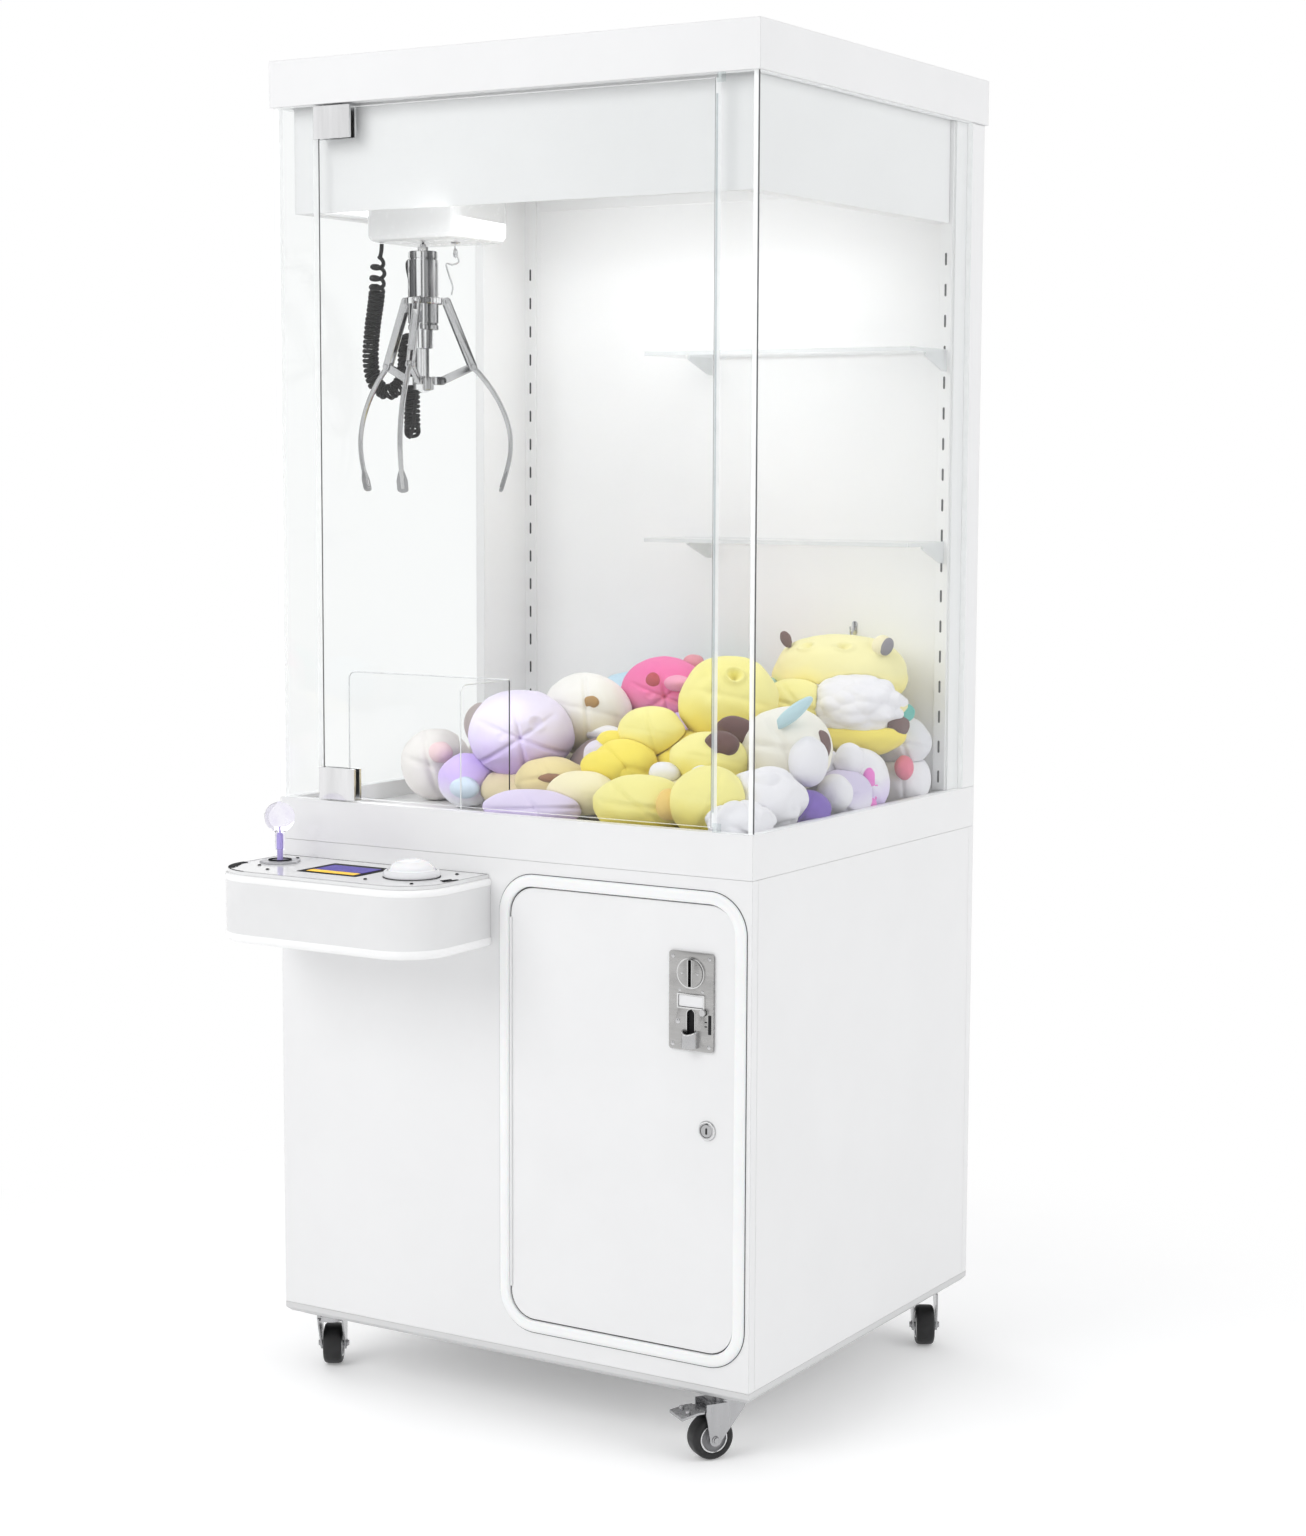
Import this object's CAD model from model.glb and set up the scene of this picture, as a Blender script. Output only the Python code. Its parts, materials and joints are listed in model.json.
"""Looks of the claw crane machine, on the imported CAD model. Metres, +Z up, -Y towards the player."""

import json
import math

import bmesh
import bpy
import numpy as np
from mathutils import Euler, Matrix, Vector, noise
from mathutils.geometry import interpolate_bezier, tessellate_polygon


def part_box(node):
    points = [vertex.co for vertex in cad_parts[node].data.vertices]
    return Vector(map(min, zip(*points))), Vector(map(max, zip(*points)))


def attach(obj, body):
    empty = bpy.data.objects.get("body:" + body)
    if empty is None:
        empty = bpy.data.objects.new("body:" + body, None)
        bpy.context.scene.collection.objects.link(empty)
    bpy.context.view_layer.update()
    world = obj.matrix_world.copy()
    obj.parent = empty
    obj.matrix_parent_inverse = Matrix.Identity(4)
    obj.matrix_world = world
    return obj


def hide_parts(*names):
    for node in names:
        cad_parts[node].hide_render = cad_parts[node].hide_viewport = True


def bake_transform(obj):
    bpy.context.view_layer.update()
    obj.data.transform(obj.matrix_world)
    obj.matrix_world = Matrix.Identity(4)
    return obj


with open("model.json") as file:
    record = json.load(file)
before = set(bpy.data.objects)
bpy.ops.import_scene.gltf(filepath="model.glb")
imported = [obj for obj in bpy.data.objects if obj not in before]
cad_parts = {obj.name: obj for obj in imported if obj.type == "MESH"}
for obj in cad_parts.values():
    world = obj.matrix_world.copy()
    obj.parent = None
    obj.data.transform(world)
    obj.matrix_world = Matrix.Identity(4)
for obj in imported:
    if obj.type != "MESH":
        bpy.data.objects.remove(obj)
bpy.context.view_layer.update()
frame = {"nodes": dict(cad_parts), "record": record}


# ---- Camera ----
EYE = (2.1386, -3.3642, 1.3291)
YAW, PITCH, ROLL = 31.43, 6.23, 0.23
LENS = 64.96


# ---- Colours ----
WHITE = (0.885, 0.885, 0.888)
CHROME = (0.66, 0.66, 0.67)
BLACK = (0.012, 0.012, 0.014)
YELLOW, PALE_YELLOW = (0.95, 0.80, 0.14), (0.95, 0.88, 0.34)
CREAM, LAVENDER = (0.93, 0.86, 0.58), (0.64, 0.50, 0.88)
PLUSH_WHITE, PINK = (0.88, 0.87, 0.91), (0.90, 0.22, 0.46)
BROWN, TAUPE, TEAL = (0.16, 0.09, 0.085), (0.45, 0.39, 0.38), (0.12, 0.48, 0.42)
SKY, VIOLET, MAGENTA = (0.55, 0.74, 0.85), (0.20, 0.11, 0.50), (0.85, 0.22, 0.65)


# ---- Where things are ----
def box(node):
    low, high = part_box(node)
    return Vector(low), Vector(high)


def middle(node):
    low, high = box(node)
    return (low + high) / 2


def joint(name):
    return next(j for j in frame["record"]["behaviour"]["joints"] if j["name"] == name)


CLAW = middle("hoist_string")
AXIS = (CLAW.x, CLAW.y, 0)
DECK = box("play_deck")[1].z
SHELF_BACK = box("shelf_upper")[1].y
RAIL_FACE, WALL_FACE = SHELF_BACK + 0.0003, SHELF_BACK + 0.0043
COVER_TOP = box("console_cover")[1].z


# ---- Mesh tools ----
def add_mesh(name, bm, angle=35):
    bmesh.ops.remove_doubles(bm, verts=bm.verts, dist=1e-7)
    bmesh.ops.recalc_face_normals(bm, faces=bm.faces)
    mesh = bpy.data.meshes.new(name)
    bm.to_mesh(mesh)
    bm.free()
    mesh.shade_smooth()
    mesh.set_sharp_from_angle(angle=math.radians(angle))
    obj = bpy.data.objects.new(name, mesh)
    bpy.context.scene.collection.objects.link(obj)
    return obj


def skin_between(bm, rings):
    """Faces between neighbouring rings of the same number of points, and over the two end rings."""
    for lower, upper in zip(rings, rings[1:]):
        for i in range(len(lower)):
            j = (i + 1) % len(lower)
            bm.faces.new((lower[i], lower[j], upper[j], upper[i]))
    bm.faces.new(rings[0])
    bm.faces.new(rings[-1])


def arc(a, b, radius, start, end, steps):
    turns = [math.radians(start + (end - start) * i / steps) for i in range(steps + 1)]
    return [(a + radius * math.cos(t), b + radius * math.sin(t)) for t in turns]


def circle(a, b, radius, steps=64):
    return arc(a, b, radius, 0, 360, steps)[:-1]


def round_rect(a0, a1, b0, b1, radius, steps=8):
    corners = ((a1, b0, -90), (a1, b1, 0), (a0, b1, 90), (a0, b0, 180))
    points = []
    for a, b, start in corners:
        ca = a - radius if a == a1 else a + radius
        cb = b - radius if b == b1 else b + radius
        points += arc(ca, cb, radius, start, start + 90, steps)
    return points


def capsule(a, b, radius, steps=16):
    heading = math.degrees(math.atan2(b[1] - a[1], b[0] - a[0]))
    return (arc(b[0], b[1], radius, heading - 90, heading + 90, steps)
            + arc(a[0], a[1], radius, heading + 90, heading + 270, steps))


def round_edges(obj, width):
    modifier = obj.modifiers.new("bevel", "BEVEL")
    modifier.width = width
    modifier.segments = 3
    modifier.limit_method = "ANGLE"
    modifier.angle_limit = math.radians(40)
    modifier.harden_normals = False


def prism(name, loops, low, high, axis="z", bevel=0.0):
    """Straight solid with round edges. The first loop is its outline and the others are holes."""
    place = {"z": lambda a, b, h: (a, b, h), "y": lambda a, b, h: (a, h, b), "x": lambda a, b, h: (h, a, b)}[axis]
    bm = bmesh.new()
    rings = [[[bm.verts.new(place(a, b, h)) for a, b in loop] for loop in loops] for h in (low, high)]
    for ends in rings:
        flat = [v for ring in ends for v in ring]
        if len(loops) == 1:
            bm.faces.new(flat)
            continue
        for corners in tessellate_polygon([[Vector((a, b, 0)) for a, b in loop] for loop in loops]):
            bm.faces.new([flat[i] for i in corners])
    for ring_a, ring_b in zip(*rings):
        for i in range(len(ring_a)):
            j = (i + 1) % len(ring_a)
            bm.faces.new((ring_a[i], ring_a[j], ring_b[j], ring_b[i]))
    obj = add_mesh(name, bm)
    if bevel:
        round_edges(obj, bevel)
    return obj


def lathe(name, profile, steps=64, axis="z", at=(0, 0, 0)):
    """Turned solid from (radius, height) points."""
    bm = bmesh.new()
    rings = []
    for radius, z in profile:
        if radius == 0:
            rings.append([bm.verts.new((0, 0, z))] * steps)
        else:
            rings.append([bm.verts.new((a, b, z)) for a, b in circle(0, 0, radius, steps)])
    for lower, upper in zip(rings, rings[1:]):
        for i in range(steps):
            j = (i + 1) % steps
            bm.faces.new(list(dict.fromkeys((lower[i], lower[j], upper[j], upper[i]))))
    turn = {"z": Matrix(), "y": Matrix.Rotation(math.radians(90), 4, "X"),
            "x": Matrix.Rotation(math.radians(90), 4, "Y")}[axis]
    bm.transform(Matrix.Translation(at) @ turn)
    return add_mesh(name, bm)


def dome_head(name, x, y, z, radius, height):
    """Screw or rivet head that faces the player."""
    profile = [(0, 0), (radius, 0), (radius * 0.96, height * 0.35), (radius * 0.75, height * 0.75),
               (radius * 0.4, height * 0.95), (0, height)]
    return lathe(name, profile, 24, "y", (x, y, z))


def tube(name, points, radius, sides=12):
    """Mesh tube along points, with one radius or one for each point."""
    points = [Vector(p) for p in points]
    radii = radius if hasattr(radius, "__len__") else [radius] * len(points)
    bm = bmesh.new()
    rings = []
    heading = (points[1] - points[0]).normalized()
    side = heading.orthogonal().normalized()
    for i, point in enumerate(points):
        after = points[min(i + 1, len(points) - 1)] - points[max(i - 1, 0)]
        after.normalize()
        side = (heading.rotation_difference(after) @ side).normalized()
        heading = after
        other = heading.cross(side)
        ring = [bm.verts.new(point + (side * math.cos(t) + other * math.sin(t)) * radii[i])
                for t in (2 * math.pi * k / sides for k in range(sides))]
        rings.append(ring)
    skin_between(bm, rings)
    return add_mesh(name, bm, 50)


def loft(name, layers):
    """Solid through outlines of the same number of points, each with its height."""
    bm = bmesh.new()
    rings = [[bm.verts.new((x, y, z)) for x, y in outline] for z, outline in layers]
    skin_between(bm, rings)
    return add_mesh(name, bm)


def sweep_ring(name, path, section):
    """Closed rail along a closed path in the front plane: section is (outwards, forwards) points."""
    bm = bmesh.new()
    count = len(path)
    rings = []
    for i, (x, z) in enumerate(path):
        ax, az = path[i - 1]
        bx, bz = path[(i + 1) % count]
        run = Vector((bx - ax, bz - az)).normalized()
        out = Vector((run.y, -run.x))
        rings.append([bm.verts.new((x + out.x * a, y, z + out.y * a)) for a, y in section])
    for i in range(count):
        lower, upper = rings[i], rings[(i + 1) % count]
        for k in range(len(section)):
            m = (k + 1) % len(section)
            bm.faces.new((lower[k], lower[m], upper[m], upper[k]))
    return add_mesh(name, bm, 40)


def join(name, *parts):
    """One object from several, with their modifiers applied."""
    bm = bmesh.new()
    bpy.context.view_layer.update()
    for part in parts:
        mesh = bpy.data.meshes.new_from_object(part.evaluated_get(bpy.context.evaluated_depsgraph_get()))
        mesh.transform(part.matrix_world)
        bm.from_mesh(mesh)
        bpy.data.objects.remove(part, do_unlink=True)
    mesh = bpy.data.meshes.new(name)
    bm.to_mesh(mesh)
    bm.free()
    mesh.shade_smooth()
    mesh.set_sharp_from_angle(angle=math.radians(35))
    obj = bpy.data.objects.new(name, mesh)
    bpy.context.scene.collection.objects.link(obj)
    return obj


def spline(points, step):
    """Points every step along a smooth curve through a route."""
    points = [Vector(p) for p in points]
    ends = [2 * points[0] - points[1]] + points + [2 * points[-1] - points[-2]]
    fine = []
    for p0, p1, p2, p3 in zip(ends, ends[1:], ends[2:], ends[3:]):
        fine += interpolate_bezier(p1, p1 + (p2 - p0) / 6, p2 - (p3 - p1) / 6, p2, 40)[:-1]
    fine.append(points[-1])
    route, walked = [fine[0]], 0.0
    for before, after in zip(fine, fine[1:]):
        walked += (after - before).length
        if walked >= step:
            route.append(after)
            walked = 0.0
    route[-1] = points[-1]
    return route


# ---- Material tools ----
class Shader:
    """A node tree, here a material's or the world's, with short ways to add and link nodes."""

    def __init__(self, name, owner=None):
        self.material = owner or bpy.data.materials.new(name)
        self.material.use_nodes = True
        self.tree = self.material.node_tree
        self.principled = self.tree.nodes.get("Principled BSDF")
        self.output = self.tree.nodes.get("Material Output") or self.tree.nodes["World Output"]

    def node(self, kind, **values):
        node = self.tree.nodes.new("ShaderNode" + kind)
        for key, value in values.items():
            setattr(node, key, value)
        return node

    def link(self, source, target):
        self.tree.links.new(source, target)

    def add(self, kind, *inputs, out=0, **values):
        """The output of a new node whose inputs, in order, are linked or set. None leaves one alone."""
        node = self.node(kind, **values)
        for socket, value in zip(node.inputs, inputs):
            if isinstance(value, bpy.types.NodeSocket):
                self.link(value, socket)
            elif value is not None:
                socket.default_value = value
        return node.outputs[out]

    def surface(self, shader):
        self.link(shader, self.output.inputs["Surface"])
        return self.material

    def set(self, **values):
        for key, value in values.items():
            socket = self.principled.inputs[key.replace("_", " ")]
            socket.default_value = (*value, 1) if hasattr(value, "__len__") and len(value) == 3 else value
        return self

    def noise(self, scale, detail=4.0, roughness=0.55, stretch=None):
        coords = self.node("TexCoord")
        out = coords.outputs["Object"]
        if stretch:
            mapping = self.node("Mapping")
            mapping.inputs["Scale"].default_value = stretch
            self.link(out, mapping.inputs["Vector"])
            out = mapping.outputs["Vector"]
        noise_node = self.node("TexNoise")
        noise_node.inputs["Scale"].default_value = scale
        noise_node.inputs["Detail"].default_value = detail
        noise_node.inputs["Roughness"].default_value = roughness
        self.link(out, noise_node.inputs["Vector"])
        return noise_node.outputs["Fac"]

    def ramp(self, factor, low, high, start=0.3, end=0.7):
        ramp = self.node("ValToRGB")
        for element, position, colour in zip(ramp.color_ramp.elements, (start, end), (low, high)):
            element.position = position
            element.color = (*colour, 1)
        self.link(factor, ramp.inputs["Fac"])
        return ramp.outputs["Color"]

    def span(self, factor, low, high):
        """Maps 0..1 to low..high."""
        return self.add("MapRange", factor, None, None, low, high, out="Result")

    def coat(self, *args):
        """Base colour that varies along a ramp."""
        self.link(self.ramp(*args), self.principled.inputs["Base Color"])

    def polish(self, *args):
        """Roughness that varies over a span."""
        self.link(self.span(*args), self.principled.inputs["Roughness"])

    def bump(self, height, strength, distance=0.001, edge=0.0):
        bump = self.node("Bump")
        bump.inputs["Strength"].default_value = strength
        bump.inputs["Distance"].default_value = distance
        self.link(height, bump.inputs["Height"])
        if edge:
            bevel = self.node("Bevel", samples=4)
            bevel.inputs["Radius"].default_value = edge
            self.link(bevel.outputs["Normal"], bump.inputs["Normal"])
        self.link(bump.outputs["Normal"], self.principled.inputs["Normal"])


def shade(colour, factor):
    return tuple(min(1.0, c * factor) for c in colour)


def board(name, colour=WHITE, roughness=0.38, edge=0.0012):
    """Laminated board: a faint mottle, a fine orange peel and slightly worn edges."""
    s = Shader(name)
    s.set(Metallic=0.0, Coat_Weight=0.15)
    s.coat(s.noise(6, 5), shade(colour, 0.975), colour)
    s.polish(s.noise(40, 3), roughness - 0.06, roughness + 0.08)
    s.bump(s.noise(900, 2), 0.05, 0.0003, edge)
    return s.material


def powder_coat(name, colour, roughness=0.42, edge=0.0):
    s = Shader(name)
    s.coat(s.noise(9, 4), shade(colour, 0.975), colour)
    s.polish(s.noise(300, 2), roughness - 0.05, roughness + 0.08)
    s.bump(s.noise(1400, 2), 0.10, 0.0003, edge)
    return s.material


def plastic(name, colour, roughness=0.22, grain=0.04, edge=0.0):
    s = Shader(name)
    s.set(Coat_Weight=0.3, Coat_Roughness=0.08)
    s.coat(s.noise(14, 4), shade(colour, 0.97), colour)
    s.polish(s.noise(120, 3), roughness - 0.05, roughness + 0.07)
    s.bump(s.noise(700, 2), grain, 0.0003, edge)
    return s.material


def matte(name, colour, specular=0.06):
    """Dull black or dark film that stays dark at a low angle."""
    s = Shader(name)
    s.set(Roughness=0.55, Specular_IOR_Level=specular)
    s.coat(s.noise(30, 3), shade(colour, 0.8), colour)
    s.bump(s.noise(600, 2), 0.03, 0.0002)
    return s.material


def metal(name, colour, roughness, streak=(1, 1, 1), grain=0.03, edge=0.0, scale=90):
    """Bare or plated metal whose polish varies, streaked along the axis with the smallest stretch."""
    s = Shader(name)
    s.set(Metallic=1.0)
    s.coat(s.noise(scale / 3, 5, 0.6, streak), shade(colour, 0.82), colour)
    s.polish(s.noise(scale, 5, 0.6, streak), roughness * 0.6, roughness * 1.5)
    s.bump(s.noise(scale * 5, 3, 0.6, streak), grain, 0.0003, edge)
    return s.material


def see_through(name, tint, roughness=0.01, share=0.75, edge=(0.86, 0.88, 0.88), smudge=0.015,
                edge_clear=0.40, lit=0.28):
    """Glass or acrylic that doesn't bend what is behind it: its tree, its clear face and its milky cut edge."""
    s = Shader(name)
    clear = s.add("BsdfTransparent", (*tint, 1))
    gloss = s.add("BsdfGlossy", (1, 1, 1, 1), s.span(s.noise(7, 6, 0.65), roughness, roughness + smudge))
    grazing = s.add("Math", s.add("LayerWeight", 0.5, out="Facing"), 5.0, operation="POWER")
    shine = s.add("Math", grazing, share, 0.03 * share, operation="MULTIPLY_ADD")
    face = s.add("MixShader", shine, clear, gloss)
    s.set(Roughness=0.35, Specular_IOR_Level=0.3, Emission_Color=(1, 1, 1), Emission_Strength=lit)
    s.coat(s.noise(60, 4), shade(edge, 0.9), edge)
    s.bump(s.noise(900, 3), 0.1, 0.0002)
    cut = s.add("MixShader", 1 - edge_clear, s.add("BsdfTransparent"), s.principled.outputs[0])
    return s, face, cut


def pane(name, facing, tint=(0.985, 0.99, 0.99), **more):
    """Sheet whose clear faces look along one of its own axes, x, y or z. Any other face is a cut edge."""
    s, face, cut = see_through(name, tint, **more)
    along = s.add("SeparateXYZ", s.add("TexCoord", out="Normal"), out=facing.upper())
    flat = s.add("Math", s.add("Math", along, operation="ABSOLUTE"), 0.7, operation="GREATER_THAN")
    return s.surface(s.add("MixShader", flat, cut, face))


def clear_plastic(name, tint=(0.97, 0.98, 0.98), **more):
    """The same sheet material for a piece with no flat faces to tell apart."""
    s, face, _ = see_through(name, tint, **more)
    return s.surface(face)


def glow(name, colour, strength):
    """Milky diffuser lit from behind, a little uneven from lamp to lamp."""
    s = Shader(name)
    s.set(Base_Color=shade(colour, 0.9), Roughness=0.35, Emission_Strength=strength)
    s.link(s.ramp(s.noise(22, 2), shade(colour, 0.94), colour), s.principled.inputs["Emission Color"])
    s.bump(s.noise(500, 2), 0.03, 0.0003)
    return s.material


def satin_milk(name, **values):
    """Satin white cover of a light band, with a faint glow."""
    s = Shader(name)
    s.set(Emission_Color=(1, 1, 1), Coat_Weight=0.3, **values)
    s.coat(s.noise(20, 3), (0.89, 0.89, 0.89), (0.92, 0.92, 0.92))
    s.bump(s.noise(500, 2), 0.02, 0.0003)
    return s.material


def rubber(name, colour=BLACK, roughness=0.6):
    s = Shader(name)
    s.coat(s.noise(60, 5), colour, shade(colour, 2.2))
    s.polish(s.noise(90, 4), roughness - 0.12, roughness + 0.15)
    s.bump(s.noise(900, 3), 0.15, 0.0004)
    return s.material


def plush(name, top, bottom=None):
    """Short pile: soft sheen, fine nap and broad mottling, with an optional change of colour downwards."""
    s = Shader(name)
    s.set(Roughness=0.92, Sheen_Weight=0.18, Sheen_Roughness=0.45, Specular_IOR_Level=0.1)
    height = s.add("SeparateXYZ", s.add("TexCoord", out="Generated"), out="Z")
    blend = s.add("Math", height, s.span(s.noise(14, 3), -0.16, 0.16), operation="ADD")
    base = s.ramp(blend, bottom or shade(top, 0.93), top, 0.12, 0.62)
    nap = s.ramp(s.noise(420, 3, 0.7), (0.86, 0.86, 0.86), (1, 1, 1), 0.25, 0.7)
    s.link(s.add("MixRGB", 0.35, base, nap, blend_type="MULTIPLY"), s.principled.inputs["Base Color"])
    s.bump(s.noise(900, 4, 0.7), 0.45, 0.0008)
    return s.material


def give(obj, material, body=None):
    if hasattr(obj.data, "materials"):
        obj.data.materials.clear()
        obj.data.materials.append(material)
    if body:
        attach(obj, body)
    return obj


def stand_in(obj, material, body, node):
    """A finer piece in place of a CAD node."""
    give(obj, material, body)
    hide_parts(node)
    return obj


def dress(material, *nodes):
    """A better material for CAD nodes whose shape stays."""
    for node in nodes:
        obj = frame["nodes"][node]
        if not obj.material_slots:
            obj.data.materials.append(material)
        for slot in obj.material_slots:
            slot.material = material


# ---- Camera, floor and light ----
def make_camera():
    yaw, pitch, roll = (math.radians(v) for v in (YAW, PITCH, ROLL))
    forward = Vector((-math.sin(yaw) * math.cos(pitch), math.cos(yaw) * math.cos(pitch), -math.sin(pitch)))
    right = Vector((math.cos(yaw), math.sin(yaw), 0))
    up = right.cross(forward)
    r = right * math.cos(roll) + up * math.sin(roll)
    u = up * math.cos(roll) - right * math.sin(roll)
    data = bpy.data.cameras.new("camera")
    data.lens = LENS
    data.sensor_width = 36
    data.clip_end = 100
    camera = bpy.data.objects.new("camera", data)
    turn = Matrix((r, u, -forward)).transposed().to_4x4()
    camera.matrix_world = Matrix.Translation(EYE) @ turn
    bpy.context.scene.collection.objects.link(camera)
    bpy.context.scene.camera = camera


def area_light(name, place, target, size, power, size_y=None):
    data = bpy.data.lights.new(name, "AREA")
    data.energy = power
    data.size = size
    if size_y:
        data.shape = "RECTANGLE"
        data.size_y = size_y
    lamp = bpy.data.objects.new(name, data)
    aim = Vector(target) - Vector(place)
    lamp.matrix_world = Matrix.Translation(place) @ aim.to_track_quat("-Z", "Y").to_matrix().to_4x4()
    lamp.visible_camera = False
    lamp.visible_glossy = False
    bpy.context.scene.collection.objects.link(lamp)


def make_world():
    """White for what the camera sees, even light for diffuse surfaces, and dark flags in what the metal mirrors."""
    world = bpy.data.worlds.new("studio")
    bpy.context.scene.world = world
    s = Shader("studio", world)
    way = s.add("TexCoord", out="Generated")
    x, y = (s.add("SeparateXYZ", way, out=axis) for axis in "XY")
    azimuth = s.add("Math", y, x, operation="ARCTAN2")
    wave = s.add("Math", s.add("Math", azimuth, 7.0, operation="MULTIPLY"), operation="SINE")
    flags = s.add("Math", s.add("Math", wave, 0.5, operation="MULTIPLY"), 0.5, operation="ADD")
    mirrored = s.add("Background", s.ramp(flags, (0.03, 0.03, 0.032), (1, 1, 1), 0.02, 0.30), 1.0)
    lit = s.add("Background", (0.985, 0.99, 1.0, 1), 0.66)
    seen = s.add("Background", (1, 1, 1, 1), 1.0)
    camera, through, glossy = (s.add("LightPath", out=f"Is {ray} Ray")
                               for ray in ("Camera", "Transmission", "Glossy"))
    straight = s.add("Math", camera, through, operation="MAXIMUM")
    s.surface(s.add("MixShader", straight, s.add("MixShader", glossy, lit, mirrored), seen))


def make_floor():
    """White floor that keeps the shadow near the object and turns into the white background further out."""
    bm = bmesh.new()
    bmesh.ops.create_circle(bm, cap_ends=True, segments=96, radius=14)
    floor = add_mesh("floor", bm)
    floor.location.z = -0.0005
    s = Shader("floor_paper")
    s.set(Roughness=0.8, Specular_IOR_Level=0.05)
    s.coat(s.noise(3, 3), (0.90, 0.90, 0.90), (0.92, 0.92, 0.92))
    s.bump(s.noise(300, 3), 0.05, 0.0003)
    distance = s.add("VectorMath", s.add("TexCoord", out="Object"), operation="LENGTH", out="Value")
    fade = s.add("MapRange", distance, 0.60, 1.5, interpolation_type="SMOOTHERSTEP")
    camera, through, glossy = (s.add("LightPath", out=f"Is {ray} Ray")
                               for ray in ("Camera", "Transmission", "Glossy"))
    seen = s.add("Math", s.add("Math", camera, through, operation="MAXIMUM"), glossy, operation="MAXIMUM")
    plain = s.principled.outputs[0]
    paper = s.add("AddShader", plain, s.add("Emission", None, 0.20))
    near = s.add("MixShader", fade, paper, s.add("Emission", None, 1.0))
    give(floor, s.surface(s.add("MixShader", seen, plain, near)))


def make_lights():
    area_light("key", (-1.6, -4.2, 3.4), (0, 0, 0.9), 3.0, 88)
    area_light("fill_right", (4.2, 0.2, 2.6), (0, 0, 0.9), 3.0, 48)
    area_light("back_left", (-3.6, 2.4, 2.6), (0, 0, 1.2), 3.0, 40)
    area_light("cabinet_light", (0.02, 0.01, 1.672), (0.02, -0.01, 0.8), 0.50, 1.45, size_y=0.30)
    area_light("wall_wash", (-0.01, 0.17, 1.655), (-0.01, 0.345, 1.64), 0.62, 0.36, size_y=0.05)
    area_light("carriage_wash", (-0.06, -0.205, 1.640), (-0.22, 0.0, 1.655), 0.20, 0.10, size_y=0.04)


# ---- Cords ----
# Points as in the CAD model: the plain lead, the curled part and the plain tail to the solenoid.
CORD_LEAD = ((-0.3030, -0.1220, 1.6440), (-0.3040, -0.1215, 1.6350), (-0.3080, -0.1190, 1.6260))
CURL_ROUTE = (
    (-0.3200, -0.1080, 1.6100), (-0.3390, -0.0880, 1.5700), (-0.3560, -0.0760, 1.5250), (-0.3645, -0.0690, 1.4800),
    (-0.3600, -0.0640, 1.4480), (-0.3430, -0.0580, 1.4330), (-0.3240, -0.0535, 1.4440), (-0.3140, -0.0525, 1.4680),
    (-0.3130, -0.0520, 1.4900), (-0.3154, -0.0467, 1.5039), (-0.3210, -0.0340, 1.5097), (-0.3266, -0.0213, 1.5039),
    (-0.3290, -0.0160, 1.4900), (-0.3290, -0.0160, 1.4620), (-0.3290, -0.0160, 1.4150), (-0.3255, -0.0200, 1.3850),
    (-0.3180, -0.0300, 1.3760))
CORD_TAIL = (
    (-0.3080, -0.0420, 1.3850), (-0.3010, -0.0470, 1.4100), (-0.2985, -0.0370, 1.4700), (-0.2985, -0.0350, 1.5100),
    (-0.3010, -0.0390, 1.5500), (-0.3040, -0.0480, 1.5850), (-0.3000, -0.0640, 1.6120), (-0.2900, -0.0740, 1.6220),
    (-0.2660, -0.0855, 1.6180))
WIRE_R, COIL_R = 0.0030, 0.0094
TURN_POINTS = 16
CURL_SPLIT = 5            # the route's point at the bottom of the first bend
PITCH_TIGHT, PITCH_LOOSE, LOOSE_TURNS = 0.0068, 0.0210, 4


def helix(route, radius_in, radius_out, loose):
    """Coil around a route. With loose turns, it grows from the lead and its turns close up over them."""
    line = spline(route, 0.0008)
    walked = [0.0]
    for before, after in zip(line, line[1:]):
        walked.append(walked[-1] + (after - before).length)
    heading = (line[1] - line[0]).normalized()
    side = heading.orthogonal().normalized()
    frames = []
    for i, point in enumerate(line):
        after = (line[min(i + 1, len(line) - 1)] - line[max(i - 1, 0)]).normalized()
        side = (heading.rotation_difference(after) @ side).normalized()
        heading = after
        frames.append((point, side.copy(), heading.cross(side)))
    points, at, turns, index, end = [], 0.0, 0.0, 0, walked[-1]
    while at < end:
        ease = min(1.0, turns / loose) if loose else 1.0
        grow = min(1.0, turns / 0.8) if loose else 1.0
        pitch = PITCH_LOOSE + (PITCH_TIGHT - PITCH_LOOSE) * ease * ease
        radius = radius_in + (radius_out - radius_in) * grow
        while index < len(walked) - 2 and walked[index + 1] < at:
            index += 1
        point, u, v = frames[index]
        angle = 2 * math.pi * turns
        points.append(point + (u * math.cos(angle) + v * math.sin(angle)) * radius)
        at += pitch / TURN_POINTS
        turns += 1 / TURN_POINTS
    return points


def make_cords():
    """The curly cord and its plain tail to the solenoid, in two lengths that meet at the first bend."""
    jacket = matte("cord_jacket", (0.008, 0.008, 0.009), 0.25)
    lead = spline(CORD_LEAD, 0.003)
    upper = lead[:-1] + helix(CORD_LEAD[-1:] + CURL_ROUTE[:CURL_SPLIT + 1], 0.0, COIL_R, LOOSE_TURNS)
    coil = helix(CURL_ROUTE[CURL_SPLIT:], COIL_R, COIL_R, 0)
    lower = coil + spline((tuple(coil[-1]),) + CORD_TAIL, 0.003)[1:]
    first = tube("curly_cord_upper", upper, WIRE_R, 8)
    second = tube("curly_cord_lower", lower, WIRE_R, 8)
    give(first, jacket)
    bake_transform(first)
    give(second, jacket, "claw")
    for piece, points in ((first, upper), (second, lower)):
        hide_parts("curly_cord")


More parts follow.
